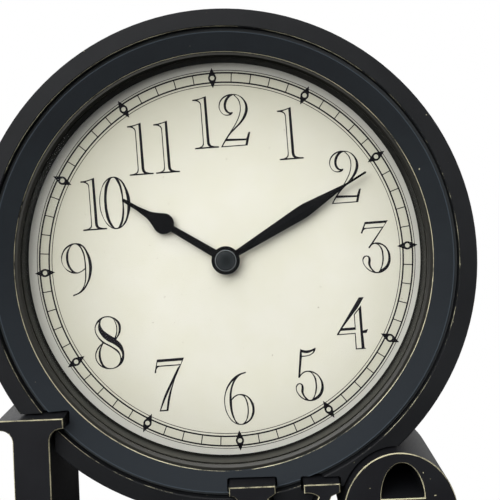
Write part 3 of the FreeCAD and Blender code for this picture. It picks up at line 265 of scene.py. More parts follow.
dial_paper, tree, shader, place = new_finish("printed_paper_cream", {"Roughness": 0.7})
radius = distance_from_axis(tree, place, hand_axis.x, hand_axis.z)
browned_and_shaded_radius = distance_from_axis(tree, place, unbrowned_unshaded_middle.x, unbrowned_unshaded_middle.z)
browning_and_shade = add(tree, "ShaderNodeMapRange", {"Value": browned_and_shaded_radius, "From Min": shade_and_browning_start,
                                            "From Max": shade_and_browning_end})
browned_and_shaded = add(tree, "ShaderNodeMath", {"operation": "POWER", 0: browning_and_shade.outputs[0], 1: 1.5})
aged_and_shaded = add(tree, "ShaderNodeMix", {"data_type": "RGBA", 0: browned_and_shaded.outputs[0],
                                   6: mottle(tree, place, 22, "#f3f1de", "#f7f5e6"),
                                   7: linear("#c0beab")})
on_track = add(tree, "ShaderNodeMath", {"operation": "COMPARE", 0: radius, 1: track_middle,
                                        2: track_half_width})
track_share = add(tree, "ShaderNodeMath", {"operation": "MULTIPLY", 0: on_track.outputs[0], 1: 0.35})
tinted = add(tree, "ShaderNodeMix", {"data_type": "RGBA", 0: track_share.outputs[0],
                                     6: aged_and_shaded.outputs[2], 7: linear("#c4c3b0")})
# Painted shade: the paper under the lip is greyed.
painted_lip_shade = add(tree, "ShaderNodeMapRange", {"Value": radius, "From Min": lip_shade_start,
                                             "From Max": lip_shade_end, "To Max": 0.6})
lip_shaded_colour = add(tree, "ShaderNodeMix", {"data_type": "RGBA", 0: painted_lip_shade.outputs[0],
                                     6: tinted.outputs[2], 7: linear("#c6c6c2")})
dust = add(tree, "ShaderNodeTexNoise", {"Vector": place, "Scale": 1000 / speck_mm, "Detail": 2.0})
specks = add(tree, "ShaderNodeMapRange", {"Value": dust.outputs[0], "From Min": 0.735,
                                          "From Max": 0.78, "To Max": 0.5})
specked = add(tree, "ShaderNodeMix", {"data_type": "RGBA", 0: specks.outputs[0],
                                      6: lip_shaded_colour.outputs[2], 7: linear("#8f8266")})
tree.links.new(specked.outputs[2], shader.inputs["Base Color"])
roughen(tree, shader, place, 0.5, 0.008, 5.0)
dress(dial_paper, "dial_face")

# Bare pressed fibreboard is brown with fine lighter fibres, and has no shine.
fibreboard, tree, shader, place = new_finish("pressed_fibreboard_bare", {"Roughness": 0.85})
colour_mottled(tree, shader, place, 2.5, "#8a6d4c", "#a9895f")
roughen(tree, shader, place, 0.6, 0.05, 6.0)
dress(fibreboard, "dial_board")

# Dial printing
# Railway minute track, a lozenge with an open eye at each hour, and open-face numerals.
# It lies on the paper as one thin layer of ink with a faint violet black.

ink, tree, shader, place = new_finish(
    "printing_ink_black", {"Roughness": 0.7, "Specular IOR Level": 0.15})
colour_mottled(tree, shader, place, 0.6, "#0c0b10", "#18151c")

ink_height = 0.00006
print_twist = math.radians(2.05)
track_rings = ((0.09015, 0.0905), (0.0914, 0.0922), (0.0963, 0.0971), (0.0978, 0.09815))
tick_length = 0.0045
tick_width = 0.0005
marks = bmesh.new()


def printed_circle(inner, outer):
    ends = [marks.verts.new((r, 0, 0)) for r in (inner, outer)]
    rim = marks.edges.new(ends)
    bmesh.ops.spin(marks, geom=ends + [rim], cent=(0, 0, 0), axis=(0, 1, 0), angle=math.tau,
                   steps=240, use_merge=True)


def clockwise(angle):
    return Matrix.Rotation(angle, 4, "Y")


for inner, outer in track_rings:
    printed_circle(inner, outer)

to_track = Matrix.Translation((0, 0, track_middle))
upright = Matrix.Rotation(math.radians(90), 4, "X")
tick = Matrix.Diagonal((tick_width, 1, tick_length, 1)) @ upright
for minute in range(60):
    if minute % 5:
        place_tick = clockwise(math.radians(6 * minute)) @ to_track @ tick
        bmesh.ops.create_grid(marks, x_segments=1, y_segments=1, size=0.5, matrix=place_tick)


def outline_mesh(contours):
    # Points are in millimetres, x and y and, where the line runs through smoothly, a third mark.
    shape = bpy.data.curves.new("outline", "CURVE")
    shape.dimensions = "2D"
    shape.fill_mode = "BOTH"
    shape.resolution_u = 8
    for contour in contours:
        spline = shape.splines.new("BEZIER")
        spline.bezier_points.add(len(contour) - 1)
        spline.use_cyclic_u = True
        for point, (x, y, *smooth) in zip(spline.bezier_points, contour):
            point.co = (x / 1000, y / 1000, 0)
            point.handle_left_type = point.handle_right_type = "AUTO" if smooth else "VECTOR"
    holder = bpy.data.objects.new("outline", shape)
    bpy.context.scene.collection.objects.link(holder)
    bpy.context.view_layer.update()
    evaluated = holder.evaluated_get(bpy.context.evaluated_depsgraph_get())
    flat_mesh = bpy.data.meshes.new_from_object(evaluated)
    bpy.data.objects.remove(holder)
    flat_mesh.transform(upright)
    return flat_mesh


def print_shape(shape_mesh, placing):
    stamped = shape_mesh.copy()
    stamped.transform(placing)
    marks.from_mesh(stamped)


lozenge = outline_mesh([
    [(0, 5.3), (1.5, 2.0), (2.15, 0, 1), (1.5, -2.0), (0, -5.3), (-1.5, -2.0), (-2.15, 0, 1),
     (-1.5, 2.0)],
    [(0, 1.15, 1), (1.15, 0, 1), (0, -1.15, 1), (-1.15, 0, 1)],
])
for hour in range(12):
    print_shape(lozenge, clockwise(math.radians(30 * hour)) @ to_track)

# Open-face numerals: a white stroke with a fine line at its left and a heavy black edge at its
# right. Outlines are about each numeral's middle.
digits = {
    "1": [
        [(-6, 12.46), (-2.77, 12.77, 1), (1.23, 13.85), (1.38, -10.15), (1.85, -11.54, 1),
         (3.23, -12.23, 1), (6, -12.62), (6, -13.31), (-6.46, -13.31), (-6.46, -12.62),
         (-3.69, -12.23, 1), (-2.54, -11.46, 1), (-2.08, -10), (-2.08, 8.92), (-2.46, 10.46, 1),
         (-4.08, 11.54, 1), (-6, 11.77)],
        [(-0.08, 12.85), (-0.08, -9.77), (0.23, -11.54, 1), (1.08, -12.54), (-2.77, -12.54),
         (-1.92, -11.69, 1), (-1.62, -10), (-1.62, 8.92), (-1.92, 10.77, 1), (-3.23, 12)],
    ],
    "2": [
        [(-0.31, 13.92, 1), (3.46, 12.77, 1), (6, 10.23, 1), (7.23, 6.77, 1), (6.69, 3.31, 1),
         (4.23, -0.54, 1), (0, -4.38, 1), (-2.92, -7.08, 1), (-4.54, -9.08), (5.23, -9.69),
         (6.62, -6.46), (7.62, -6.38), (5.69, -13.31), (-8.15, -13.31), (-6, -9.77),
         (-2.92, -5.69, 1), (0.23, -1.31, 1), (2.54, 3.31, 1), (3.15, 7.15, 1), (2.31, 10.77, 1),
         (0.23, 13.31), (-1.69, 12.31, 1), (-3.38, 10, 1), (-3.92, 7.38, 1), (-3.23, 5.38, 1),
         (-2.15, 4.54, 1), (-0.69, 4.62), (-0.92, 3.69, 1), (-2.92, 2.85, 1), (-5.54, 3.46, 1),
         (-7.46, 6, 1), (-7.69, 8.92, 1), (-6, 12, 1), (-3.23, 13.62, 1)],
        [(-2.77, 13.15), (-5.77, 11.23, 1), (-7.23, 8.31, 1), (-7, 5.85, 1), (-5.54, 3.92, 1),
         (-3.69, 3.38, 1), (-2.46, 3.69), (-3.85, 4.46, 1), (-4.85, 6, 1), (-5.15, 8.46, 1),
         (-4.54, 10.77, 1)],
        [(0.92, 13.23), (2.92, 10.77, 1), (3.62, 7.31, 1), (3, 3.15, 1), (0.92, -1.15, 1),
         (-1.46, -4.62), (2.31, -1.08, 1), (4.77, 2.54, 1), (5.85, 6, 1), (5.69, 8.69, 1),
         (4.23, 11.38, 1), (2.46, 12.85, 1)],
        [(-5.46, -10.31), (5.15, -10.62), (4.62, -12.77), (-7.15, -12.77)],
    ],
    "3": [
        [(-4.77, 13.08), (7.23, 13.08), (-1.15, 1.85), (0.46, 2.08, 1), (3.85, 0.92, 1),
         (6.31, -2.08, 1), (7.23, -5.92, 1), (6.46, -9.77, 1), (3.85, -12.77, 1),
         (0.15, -13.92, 1), (-3.69, -12.77, 1), (-6.46, -9.85, 1), (-7.46, -6.92, 1),
         (-6.85, -4.92, 1), (-5.23, -4.31, 1), (-3.69, -5, 1), (-3.15, -6.69, 1),
         (-3.46, -9.23, 1), (-2.31, -11.85, 1), (-0.08, -13.23, 1), (1.54, -11.54, 1),
         (2.54, -8.62, 1), (2.92, -4.77, 1), (2.38, -1.31, 1), (0.77, 0.92, 1), (-1, 1.23, 1),
         (-3.46, -0.85), (-3.92, -0.23), (3.85, 9.46), (-4.46, 9.46), (-5.54, 8.92, 1),
         (-6.54, 7.15), (-7.31, 7.38)],
        [(-4.54, 11.85), (5.85, 11.85), (4.54, 10), (-5.31, 10)],
        [(1.54, 1.08), (3.23, -1.31, 1), (3.69, -4.77, 1), (3.31, -8.62, 1), (2, -12),
         (4.15, -10.54, 1), (5.54, -8.23, 1), (6, -5.54, 1), (5.54, -2.46, 1), (3.85, 0, 1)],
        [(-5.31, -4.85, 1), (-6.46, -5.62, 1), (-7, -7.08, 1), (-6.15, -9.54, 1),
         (-4.31, -11.69, 1), (-2.62, -12.77), (-4.08, -10.54, 1), (-4.69, -8.46, 1),
         (-4.38, -6.46, 1), (-4.54, -5.23, 1)],
    ],
    "4": [
        [(4.15, 12.92), (6.77, 12.92), (3.08, 7.38), (1.54, 5.77), (-5.46, -2.31), (0.92, -2.31),
         (0.92, 4.38), (5, 8.92), (5, -4.31), (7.69, -3.69), (6.85, -5.69), (5, -5.69),
         (5.23, -13.08), (6, -13.85), (0.54, -13.85), (0.69, -5.77), (-8.62, -5.77),
         (-8.62, -5.31)],
        [(-7.54, -5.23), (-6.46, -3.69), (1.38, -3.69), (1.38, 4.08), (3.62, 6.54),
         (3.62, -13.23), (1.15, -13.23), (1.15, -5.23)],
    ],
    "5": [
        [(-3.92, 13.54), (-2.77, 12.85, 1), (0.31, 12.46, 1), (4.15, 13.54), (3.54, 11.69, 1),
         (1.85, 10.15, 1), (-0.62, 9.38, 1), (-3.38, 9.23), (-4.85, 0.23), (-3.31, 1.38, 1),
         (-0.85, 1.92, 1), (2.46, 0.92, 1), (5.31, -1.92, 1), (6.77, -6.31, 1), (5.77, -10.54, 1),
         (3.08, -13.08, 1), (-0.62, -13.92, 1), (-4.31, -12.69, 1), (-6.92, -9.77, 1),
         (-7.77, -6.77, 1), (-7.15, -4.92, 1), (-5.62, -4.23, 1), (-4.15, -4.92, 1),
         (-3.62, -6.69, 1), (-3.85, -9.23, 1), (-2.77, -11.69, 1), (-0.46, -13.23, 1),
         (1.23, -11.54, 1), (2.23, -8.62, 1), (2.54, -4.92, 1), (2, -1.54, 1), (0.38, 0.85, 1),
         (-1.38, 1.31, 1), (-3.69, 0.38, 1), (-5.38, -1.54), (-6.08, -1.38), (-4.38, 11.38)],
        [(-3.23, 11.54), (-0.62, 11, 1), (3, 12), (1.85, 10.77, 1), (-0.38, 9.92, 1),
         (-3.31, 9.85)],
        [(1.23, 0.77), (2.85, -1.69, 1), (3.31, -4.92, 1), (3, -8.62, 1), (1.54, -12.31),
         (3.85, -10.62, 1), (5.08, -8.46, 1), (5.54, -5.92, 1), (5, -3, 1), (3.38, -0.46, 1)],
        [(-5.69, -4.77, 1), (-6.85, -5.62, 1), (-7.31, -7.08, 1), (-6.46, -9.54, 1),
         (-4.69, -11.62, 1), (-3.08, -12.77), (-4.46, -10.54, 1), (-5.08, -8.46, 1),
         (-4.77, -6.31, 1), (-4.92, -5.15, 1)],
    ],
    "6": [
        [(4.15, 13.62), (4.31, 12.92), (1.54, 12.15, 1), (-0.85, 10.15, 1), (-2.69, 7.15, 1),
         (-3.77, 3.69, 1), (-4.15, 0.23), (-2.15, 1.77, 1), (0.31, 2.31, 1), (3.62, 1.38, 1),
         (6.31, -1.54, 1), (7.38, -5.77, 1), (6.46, -9.62, 1), (3.62, -12.69, 1),
         (-0.15, -13.69, 1), (-3.69, -12.46, 1), (-6.62, -8.62, 1), (-8.08, -2.85, 1),
         (-7.38, 3.31, 1), (-4.46, 8.92, 1), (-0.23, 12.38, 1)],
        [(-2.62, 9.54), (-5.62, 5.77, 1), (-7.31, 1.38, 1), (-7.62, -2.85, 1), (-6.69, -7.31, 1),
         (-4.69, -10.85, 1), (-2.92, -12.46), (-4.54, -8.62, 1), (-5.31, -4, 1), (-5.23, 0.62, 1),
         (-4.38, 5.23, 1)],
        [(-4, -0.62), (-2, 1.08, 1), (0.31, 1.69, 1), (2.15, 0.77, 1), (3.31, -2.08, 1),
         (3.69, -5.38, 1), (3.15, -9.38, 1), (1.85, -12.15, 1), (-0.15, -13.15, 1),
         (-2.15, -12.08, 1), (-3.46, -9, 1), (-4.08, -4.77, 1)],
        [(2.69, 1.23), (3.85, -1.31, 1), (4.31, -5.15, 1), (3.85, -9.38, 1), (2.46, -12.46),
         (4.46, -10.92, 1), (5.69, -8.46, 1), (6.15, -5.54, 1), (5.54, -2.46, 1),
         (4.15, 0.15, 1)],
    ],
    "7": [
        [(-5.31, 13.15), (8.77, 13.15), (6.31, 8.31), (2.92, 1.38, 1), (0.46, -5.92, 1),
         (-1.38, -13.85), (-6, -13.85), (-3.08, -6.31, 1), (1.38, 1.77, 1), (4.92, 7.92),
         (6.31, 9.31), (-4.46, 9.31), (-5.54, 8.62, 1), (-6.31, 6.08), (-7.08, 6.31)],
        [(-5.15, 11.69), (7.54, 11.69), (6.77, 9.92), (-5.62, 9.92)],
        [(2.15, 0.77), (-1.85, -6.46, 1), (-5.15, -13.15), (-2.31, -13.15), (-0.69, -5.92, 1)],
    ],
    "8": [
        [(-0.38, 13.77, 1), (3.23, 12.77, 1), (5.92, 10.23, 1), (6.54, 7.38, 1), (5.69, 4.08, 1),
         (3.69, 1.38), (5.92, -1.08, 1), (7.08, -4.15, 1), (7.23, -7.08, 1), (6.31, -10.38, 1),
         (3.62, -12.85, 1), (-0.38, -13.77, 1), (-4.46, -12.69, 1), (-7.15, -9.77, 1),
         (-7.92, -6.85, 1), (-7.15, -3.62, 1), (-5.38, -1.23, 1), (-3.69, 0.08), (-6, 3.31, 1),
         (-7.15, 6.77, 1), (-6.38, 10.23, 1), (-4.08, 12.77, 1)],
        [(-4.62, 11.08), (-6.15, 9.38, 1), (-6.69, 7, 1), (-5.77, 4.08, 1), (-3.23, 1, 1),
         (1.31, -2.08, 1), (4.62, -4.92, 1), (5.62, -8.46), (6.08, -6.69, 1), (5.08, -3.85, 1),
         (2.46, -1.23, 1), (-1.38, 1.23, 1), (-4.15, 4.46, 1), (-5.31, 7.69, 1)],
        [(3.23, 12), (4.23, 9.85, 1), (4.62, 7.15, 1), (4.31, 4.46, 1), (3.54, 2.15),
         (4.77, 4.31, 1), (5.31, 6.92, 1), (5, 9.46, 1)],
        [(-4.31, -1.08), (-6.38, -3.62, 1), (-7.38, -6.69, 1), (-6.77, -9.38, 1), (-4.69, -11.92),
         (-5.85, -9, 1), (-6.15, -6.31, 1), (-5.62, -3.62, 1)],
        [(-0.31, 13.15, 1), (-2.77, 12.54, 1), (-3.92, 10.23, 1), (-3.15, 7.38, 1),
         (-0.46, 4.62, 1), (2.77, 2.31), (3.69, 4.46, 1), (4.08, 7.15, 1), (3.69, 9.85, 1),
         (2.46, 12.31, 1)],
        [(-3.08, -0.31), (-0.23, -2, 1), (2.69, -4.23, 1), (4.54, -6.54, 1), (4.92, -9, 1),
         (4.15, -11.08, 1), (2.46, -12.62, 1), (-0.31, -13.23, 1), (-2.92, -12.23, 1),
         (-4.54, -9.38, 1), (-5, -6.31, 1), (-4.46, -2.85, 1)],
    ],
    "9": [
        [(0, 13.77, 1), (3.62, 12.77, 1), (6.46, 8.69, 1), (8, 3.31, 1), (7.69, -2.08, 1),
         (5.54, -7.46, 1), (2.08, -11.69, 1), (-2.77, -13.69), (-2.92, -13), (0.31, -11.77, 1),
         (2.69, -9.23, 1), (3.85, -5.92, 1), (4.23, -2.46, 1), (4.38, -0.23), (2.08, -1.54, 1),
         (-0.23, -2.08, 1), (-3.69, -1.15, 1), (-6.62, 2.15, 1), (-7.62, 5.62, 1),
         (-6.62, 9.69, 1), (-3.69, 12.77, 1)],
        [(-2.31, 12.46), (-5.08, 10.62, 1), (-6.92, 7.15, 1), (-7.08, 4.08, 1), (-5.46, 0.92, 1),
         (-2.62, -0.92), (-4.31, 1.77, 1), (-5.08, 5.23, 1), (-4.77, 8.69, 1), (-3.69, 10.85, 1)],
        [(2.92, 12.31), (4.38, 9.08, 1), (4.92, 5.23, 1), (4.92, -0.92, 1), (4.38, -6.31, 1),
         (3.08, -9.69), (5.15, -6.31, 1), (6.23, -2.08, 1), (6.46, 2.92, 1), (5.69, 7.54, 1),
         (4.31, 10.92, 1)],
        [(0, 13.15, 1), (1.85, 12.15, 1), (3.62, 8.69, 1), (4.31, 4.46, 1), (4.31, 0.46),
         (2.46, -0.77, 1), (0, -1.38, 1), (-2, 0, 1), (-3.46, 2.92, 1), (-3.85, 6.38, 1),
         (-3.08, 10.23, 1), (-1.54, 12.54, 1)],
    ],
    "0": [
        [(-0.04, 13.69, 1), (3.65, 12.15, 1), (6.5, 7.54, 1), (8.12, 0, 1), (6.58, -7.46, 1),
         (3.81, -12, 1), (-0.04, -13.62, 1), (-3.73, -12, 1), (-6.58, -7.46, 1), (-8.04, 0, 1),
         (-6.58, 7.54, 1), (-3.73, 12.15, 1)],
        [(-2.65, 12.46), (-5.42, 9.23, 1), (-6.96, 5.23, 1), (-7.58, 0, 1), (-6.96, -5.15, 1),
         (-5.42, -9.23, 1), (-2.5, -12.62), (-4.42, -9, 1), (-5.27, -4.77, 1), (-5.5, 0, 1),
         (-5.19, 4.85, 1), (-4.35, 9.23, 1)],
        [(-0.04, 13.08, 1), (2.04, 10.62, 1), (3.5, 5.23, 1), (3.88, 0, 1), (3.5, -5.15, 1),
         (2.04, -10.54, 1), (-0.04, -13, 1), (-2.27, -10.54, 1), (-3.73, -5.15, 1), (-4.12, 0, 1),
         (-3.73, 5.23, 1), (-2.12, 10.62, 1)],
        [(2.65, 12.54), (3.96, 8.69, 1), (4.58, 0, 1), (3.96, -8.77, 1), (2.5, -12.46),
         (4.88, -9, 1), (6.04, -4.77, 1), (6.35, 0, 1), (5.96, 4.85, 1), (4.81, 9.08, 1)],
    ],
}
digit_meshes = {digit: outline_mesh(contours) for digit, contours in digits.items()}

# Each numeral's middle, in millimetres right of and above the hand axis, and its digits' shifts.
numerals = [
    ("12", 2.9, 71.3, (-8.1, 7.1)), ("1", 38.2, 62.3, (0,)), ("2", 64.9, 37.6, (0,)),
    ("3", 77.9, 0.7, (0,)), ("4", 62.9, -37.9, (0,)), ("5", 38.7, -62.7, (0,)),
    ("6", 1.5, -72.5, (0,)), ("7", -34.4, -62.3, (0,)), ("8", -63.6, -38.5, (0,)),
    ("9", -77.7, 0.5, (0,)), ("10", -60.1, 33.5, (-6.2, 4.8)), ("11", -32.9, 60.2, (-7.1, 6.6)),
]
for number, x, z, shifts in numerals:
    for digit, shift in zip(number, shifts):
        print_shape(digit_meshes[digit], Matrix.Translation(((x + shift) / 1000, 0, z / 1000)))

on_paper = Matrix.Translation((hand_axis.x, dial_front - ink_height, hand_axis.z))
marks.transform(on_paper @ clockwise(-print_twist))
for face in marks.faces:
    face.normal_update()
    if face.normal.y > 0:
        face.normal_flip()
ink_mesh = bpy.data.meshes.new("dial_printing")
marks.to_mesh(ink_mesh)
marks.free()
dial_printing = bpy.data.objects.new("dial_printing", ink_mesh)
bpy.context.scene.collection.objects.link(dial_printing)
ink_mesh.materials.append(ink)
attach(dial_printing, "case")

# Lip, spacer and lens
# The lip and the spacer are moulded in satin black plastic and hold the lens between them.
# Their upward faces are painted lighter and glossier, as if lit from above, and the back edge beside the
# dial is painted a dull, deep black as shade.
# The lens is clear acrylic, cut from polished sheet, so it shows only where it catches light.

spacer_low, spacer_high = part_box("lens_spacer")
fade_in = (spacer_high.y - spacer_low.y) * 0.3

# Moulded styrene has a soft sheen, and long low waves that bend what it reflects.
satin_black, tree, shader, place = new_finish(
    "moulded_styrene_satin_black", {"IOR": 1.55, "Roughness": 0.42})
depth = add(tree, "ShaderNodeSeparateXYZ", {0: place}).outputs["Y"]
forward = add(tree, "ShaderNodeMapRange", {"Value": depth, "From Min": spacer_high.y - fade_in,
                                           "From Max": spacer_low.y + fade_in})
faces_up_share = add(tree, "ShaderNodeMapRange", {"Value": facing(tree, "Z"), "From Min": -0.5, "From Max": 0.9})
# Painted light: away from the dial, upward faces turn a lighter grey and reflect more; near the dial they
# stay black.
painted_light = add(tree, "ShaderNodeMath", {"operation": "MULTIPLY", 0: forward.outputs[0],
                                    1: faces_up_share.outputs[0]})
painted_light_colour = add(tree, "ShaderNodeMix", {"data_type": "RGBA", 0: painted_light.outputs[0],
                                     6: mottle(tree, place, 40, "#0c0c0a", "#12120f"),
                                     7: linear("#3d3c37")})
tree.links.new(painted_light_colour.outputs[2], shader.inputs["Base Color"])
painted_sheen = add(tree, "ShaderNodeMapRange", {"Value": painted_light.outputs[0], "To Min": 0.02, "To Max": 0.4})
tree.links.new(painted_sheen.outputs[0], shader.inputs["Specular IOR Level"])
roughen(tree, shader, place, 14, 0.08, 1.0)
dress(satin_black, "lip_ring", "lens_spacer")

clear_acrylic, tree, shader, place = new_finish(
    "polished_acrylic_clear", {"IOR": 1.49, "Roughness": 0.04, "Alpha": 0.05})
colour_mottled(tree, shader, place, 60, "#2a2c2c", "#303333")
dress(clear_acrylic, "lens")

# Blocks and back
# Planed softwood blocks are glued inside the drum, and a hardboard disc is screwed to them.
# Hardboard is smooth and dark outside, with a faint pressed fibre pattern.

# Planed softwood shows yellow grain, drawn out from front to back.
softwood, tree, shader, place = new_finish("planed_softwood", {"Roughness": 0.6})
drawn_out = add(tree, "ShaderNodeMapping", {"Vector": place, "Scale": (1.0, 0.08, 1.0)})
along_grain = drawn_out.outputs[0]
colour_mottled(tree, shader, along_grain, 2.2, "#b98d57", "#dab683")
roughen(tree, shader, along_grain, 0.8, 0.03)
dress(softwood, "corner_blocks")

hardboard, tree, shader, place = new_finish("tempered_hardboard", {"Roughness": 0.5})
colour_mottled(tree, shader, place, 5, "#35271b", "#453323")
roughen(tree, shader, place, 0.8, 0.02, 6.0)
dress(hardboard, "back_panel")

# Movement case
# Two halves moulded in black ABS with a fine spark-eroded texture.
# A rubber washer, a brass washer and a brass hexagon nut hold it to the dial.

moulded_abs, tree, shader, place = new_finish("moulded_abs_black", {"IOR": 1.54})
colour_mottled(tree, shader, place, 18, "#19191b", "#202022")
vary_gloss(tree, shader, roughen(tree, shader, place, 0.3, 0.02, 2.0), 0.4, 0.6)
dress(moulded_abs, "movement_front_case", "movement_back_case", "set_knob", "drive_front_case",
      "drive_back_case")

# Moulded rubber is an even, dull black.
rubber, tree, shader, place = new_finish("moulded_rubber_black", {"Roughness": 0.8})
colour_mottled(tree, shader, place, 4, "#131313", "#1b1b1b")
roughen(tree, shader, place, 0.5, 0.02)
dress(rubber, "rubber_washer", "drive_leads")

# Polished brass is a little uneven where fingers have dulled its lacquer.
brass, tree, shader, place = new_finish("polished_brass_lacquered", {"Metallic": 1.0})
colour_mottled(tree, shader, place, 9, "#c9a052", "#dcb76a")
vary_gloss(tree, shader, roughen(tree, shader, place, 1.6, 0.006), 0.14, 0.3)
dress(brass, "nut_washer", "mounting_nut", "pendulum_rod", "bob_screw")

# Movement inside
# A green circuit board, a plated crystal can, rolled stator steel and a coil of enamelled wire.
# The coil is wound on a moulded nylon bobbin, and the wheels are of the same nylon.

# Solder mask is a glossy green, lighter where copper tracks run under it.
solder_mask, tree, shader, place = new_finish("solder_mask_green", {"Roughness": 0.35})
tracks = mottle(tree, place, 2, "#12512c", "#1a6a3b", 0.48, 0.52)
tree.links.new(tracks, shader.inputs["Base Color"])
roughen(tree, shader, place, 1.0, 0.01)
dress(solder_mask, "circuit_board")

# Nickel plate is a warm bright metal with faint clouds.
nickel, tree, shader, place = new_finish("nickel_plated_steel", {"Metallic": 1.0})
colour_mottled(tree, shader, place, 5, "#b7b2a7", "#ccc7bc")
vary_gloss(tree, shader, roughen(tree, shader, place, 0.8, 0.005), 0.15, 0.3)
dress(nickel, "quartz_crystal", "contact_positive", "contact_negative")

# Rolled silicon steel is a grey metal with fine lines along the way that it was rolled.
rolled_steel, tree, shader, place = new_finish(
    "rolled_silicon_steel", {"Metallic": 1.0, "Roughness": 0.4})
rolling = add(tree, "ShaderNodeMapping", {"Vector": place, "Scale": (0.05, 1.0, 1.0)}).outputs[0]
colour_mottled(tree, shader, rolling, 0.5, "#7b7d80", "#9a9c9f")
roughen(tree, shader, rolling, 0.3, 0.01)
dress(rolled_steel, "stator")

# Natural nylon is a milky off-white that light goes into a little.
nylon, tree, shader, place = new_finish(
    "moulded_nylon_natural", {"IOR": 1.53, "Roughness": 0.35, "Subsurface Weight": 0.2,
                              "Subsurface Scale": 0.001})
colour_mottled(tree, shader, place, 6, "#dcd9cb", "#e6e3d6")
roughen(tree, shader, place, 1.5, 0.01)
dress(nylon, "coil_bobbin", "rotor", "fifth_wheel", "second_wheel", "third_wheel", "centre_wheel",
      "minute_cannon", "motion_wheel", "hour_wheel", "pendulum_hanger")

# Turns of wire lie side by side, drawn as ridges 0.6 mm apart, coarser than the real 0.08 mm wire.
# Blender's wave texture runs through 20 radians in each unit of its scaled place.
ridge_mm = 0.5922
wave_radians = 20
winding, tree, shader, place = new_finish(
    "enamelled_copper_winding", {"Metallic": 0.8, "Roughness": 0.35})
turns = add(tree, "ShaderNodeTexWave", {"Vector": place, "Scale": math.tau / wave_radians * 1000 / ridge_mm,
                                        "bands_direction": "X"}).outputs[1]
copper = add(tree, "ShaderNodeMix", {"data_type": "RGBA", 0: turns, 6: linear("#6e3316"),
                                     7: linear("#c9743a")})
tree.links.new(copper.outputs[2], shader.inputs["Base Color"])
ridges = add(tree, "ShaderNodeBump", {"Height": turns, "Strength": 0.6, "Distance": 0.0001})
tree.links.new(ridges.outputs[0], shader.inputs["Normal"])
dress(winding, "coil_winding", "drive_coil")

# Battery
# A steel cell in a shrunk plastic sleeve, dark grey with one copper-coloured end band.
# Its bare ends are nickel-plated.

battery_low, battery_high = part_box("battery")
battery_length = battery_high.x - battery_low.x
battery_middle = (battery_low.x + battery_high.x) / 2
band_length = battery_length * 0.3
bare_length = 0.0016

sleeve, tree, shader, place = new_finish("shrunk_sleeve_on_cell", {"Roughness": 0.3})
along = add(tree, "ShaderNodeSeparateXYZ", {0: place}).outputs["X"]
on_band = add(tree, "ShaderNodeMath", {"operation": "GREATER_THAN", 0: along,
                                       1: battery_high.x - band_length})
sleeve_colour = add(tree, "ShaderNodeMix", {"data_type": "RGBA", 0: on_band.outputs[0],
                                            6: mottle(tree, place, 10, "#232529", "#2c2f34"),
                                            7: linear("#a8662f")})
offset = add(tree, "ShaderNodeMath", {"operation": "SUBTRACT", 0: along, 1: battery_middle})
from_middle = add(tree, "ShaderNodeMath", {"operation": "ABSOLUTE", 0: offset.outputs[0]})
bare_end = add(tree, "ShaderNodeMath", {"operation": "GREATER_THAN", 0: from_middle.outputs[0],
                                        1: battery_length / 2 - bare_length})
cell_colour = add(tree, "ShaderNodeMix", {"data_type": "RGBA", 0: bare_end.outputs[0],
                                          6: sleeve_colour.outputs[2], 7: linear("#c4c0b6")})
tree.links.new(cell_colour.outputs[2], shader.inputs["Base Color"])
tree.links.new(bare_end.outputs[0], shader.inputs["Metallic"])
roughen(tree, shader, place, 2.0, 0.01)
dress(sleeve, "battery")

# Hands
# Stamped from thin brass, ridged in the press and enamelled gloss black.
# A turned black cap covers their nut. Its button is painted grey, lighter towards its edge, as a
# reflection, and one bright ring on it is a painted highlight.

enamel, tree, shader, place = new_finish(
    "stoved_enamel_black", {"IOR": 1.5, "Roughness": 0.2, "Specular IOR Level": 0.05})
colour_mottled(tree, shader, place, 12, "#08080a", "#0c0c0e")
roughen(tree, shader, place, 2.5, 0.01, 2.0)
dress(enamel, "hour_hand", "minute_hand")

button_radius = 0.0046
button_middle = 0.0008
button_edge = 0.0042
highlight_ring = (0.0053, 0.00018)

# Turned acetal, polished, is nearly black. Its button is painted lighter from the middle to the edge
# as a reflection, and a bright ring round it is a painted highlight.
cap_gloss, tree, shader, place = new_finish(
    "turned_acetal_polished", {"IOR": 1.48, "Roughness": 0.14, "Specular IOR Level": 0.07})
cap_radius = distance_from_axis(tree, place, hand_axis.x, hand_axis.z)
# Painted reflection on the button, and a painted highlight ring on the rim.
reflection_to_edge = add(tree, "ShaderNodeMapRange", {"Value": cap_radius, "From Min": button_middle,
                                           "From Max": button_edge})
button_reflection = add(tree, "ShaderNodeMix", {"data_type": "RGBA", 0: reflection_to_edge.outputs[0],
                                            6: linear("#181b1d"), 7: linear("#303436")})
cap_black = mottle(tree, place, 5, "#060607", "#09090b")
rim_with_highlight = draw_line(tree, cap_radius, highlight_ring, cap_black, "#7c8082")
on_button = add(tree, "ShaderNodeMath", {"operation": "LESS_THAN", 0: cap_radius, 1: button_radius})
cap_colour = add(tree, "ShaderNodeMix", {"data_type": "RGBA", 0: on_button.outputs[0],
                                         6: rim_with_highlight, 7: button_reflection.outputs[2]})
tree.links.new(cap_colour.outputs[2], shader.inputs["Base Color"])
roughen(tree, shader, place, 3.0, 0.01, 2.0)
dress(cap_gloss, "hand_cap")

# Pendulum
# A spun brass disc on a flat brass rod, hung from a moulded hanger with a ferrite magnet.
# Spinning leaves fine rings on the disc, drawn 0.6 mm apart, coarser than the real ones.

bob_low, bob_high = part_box("pendulum_bob")
bob_centre = (bob_low + bob_high) / 2
ring_mm = 0.6

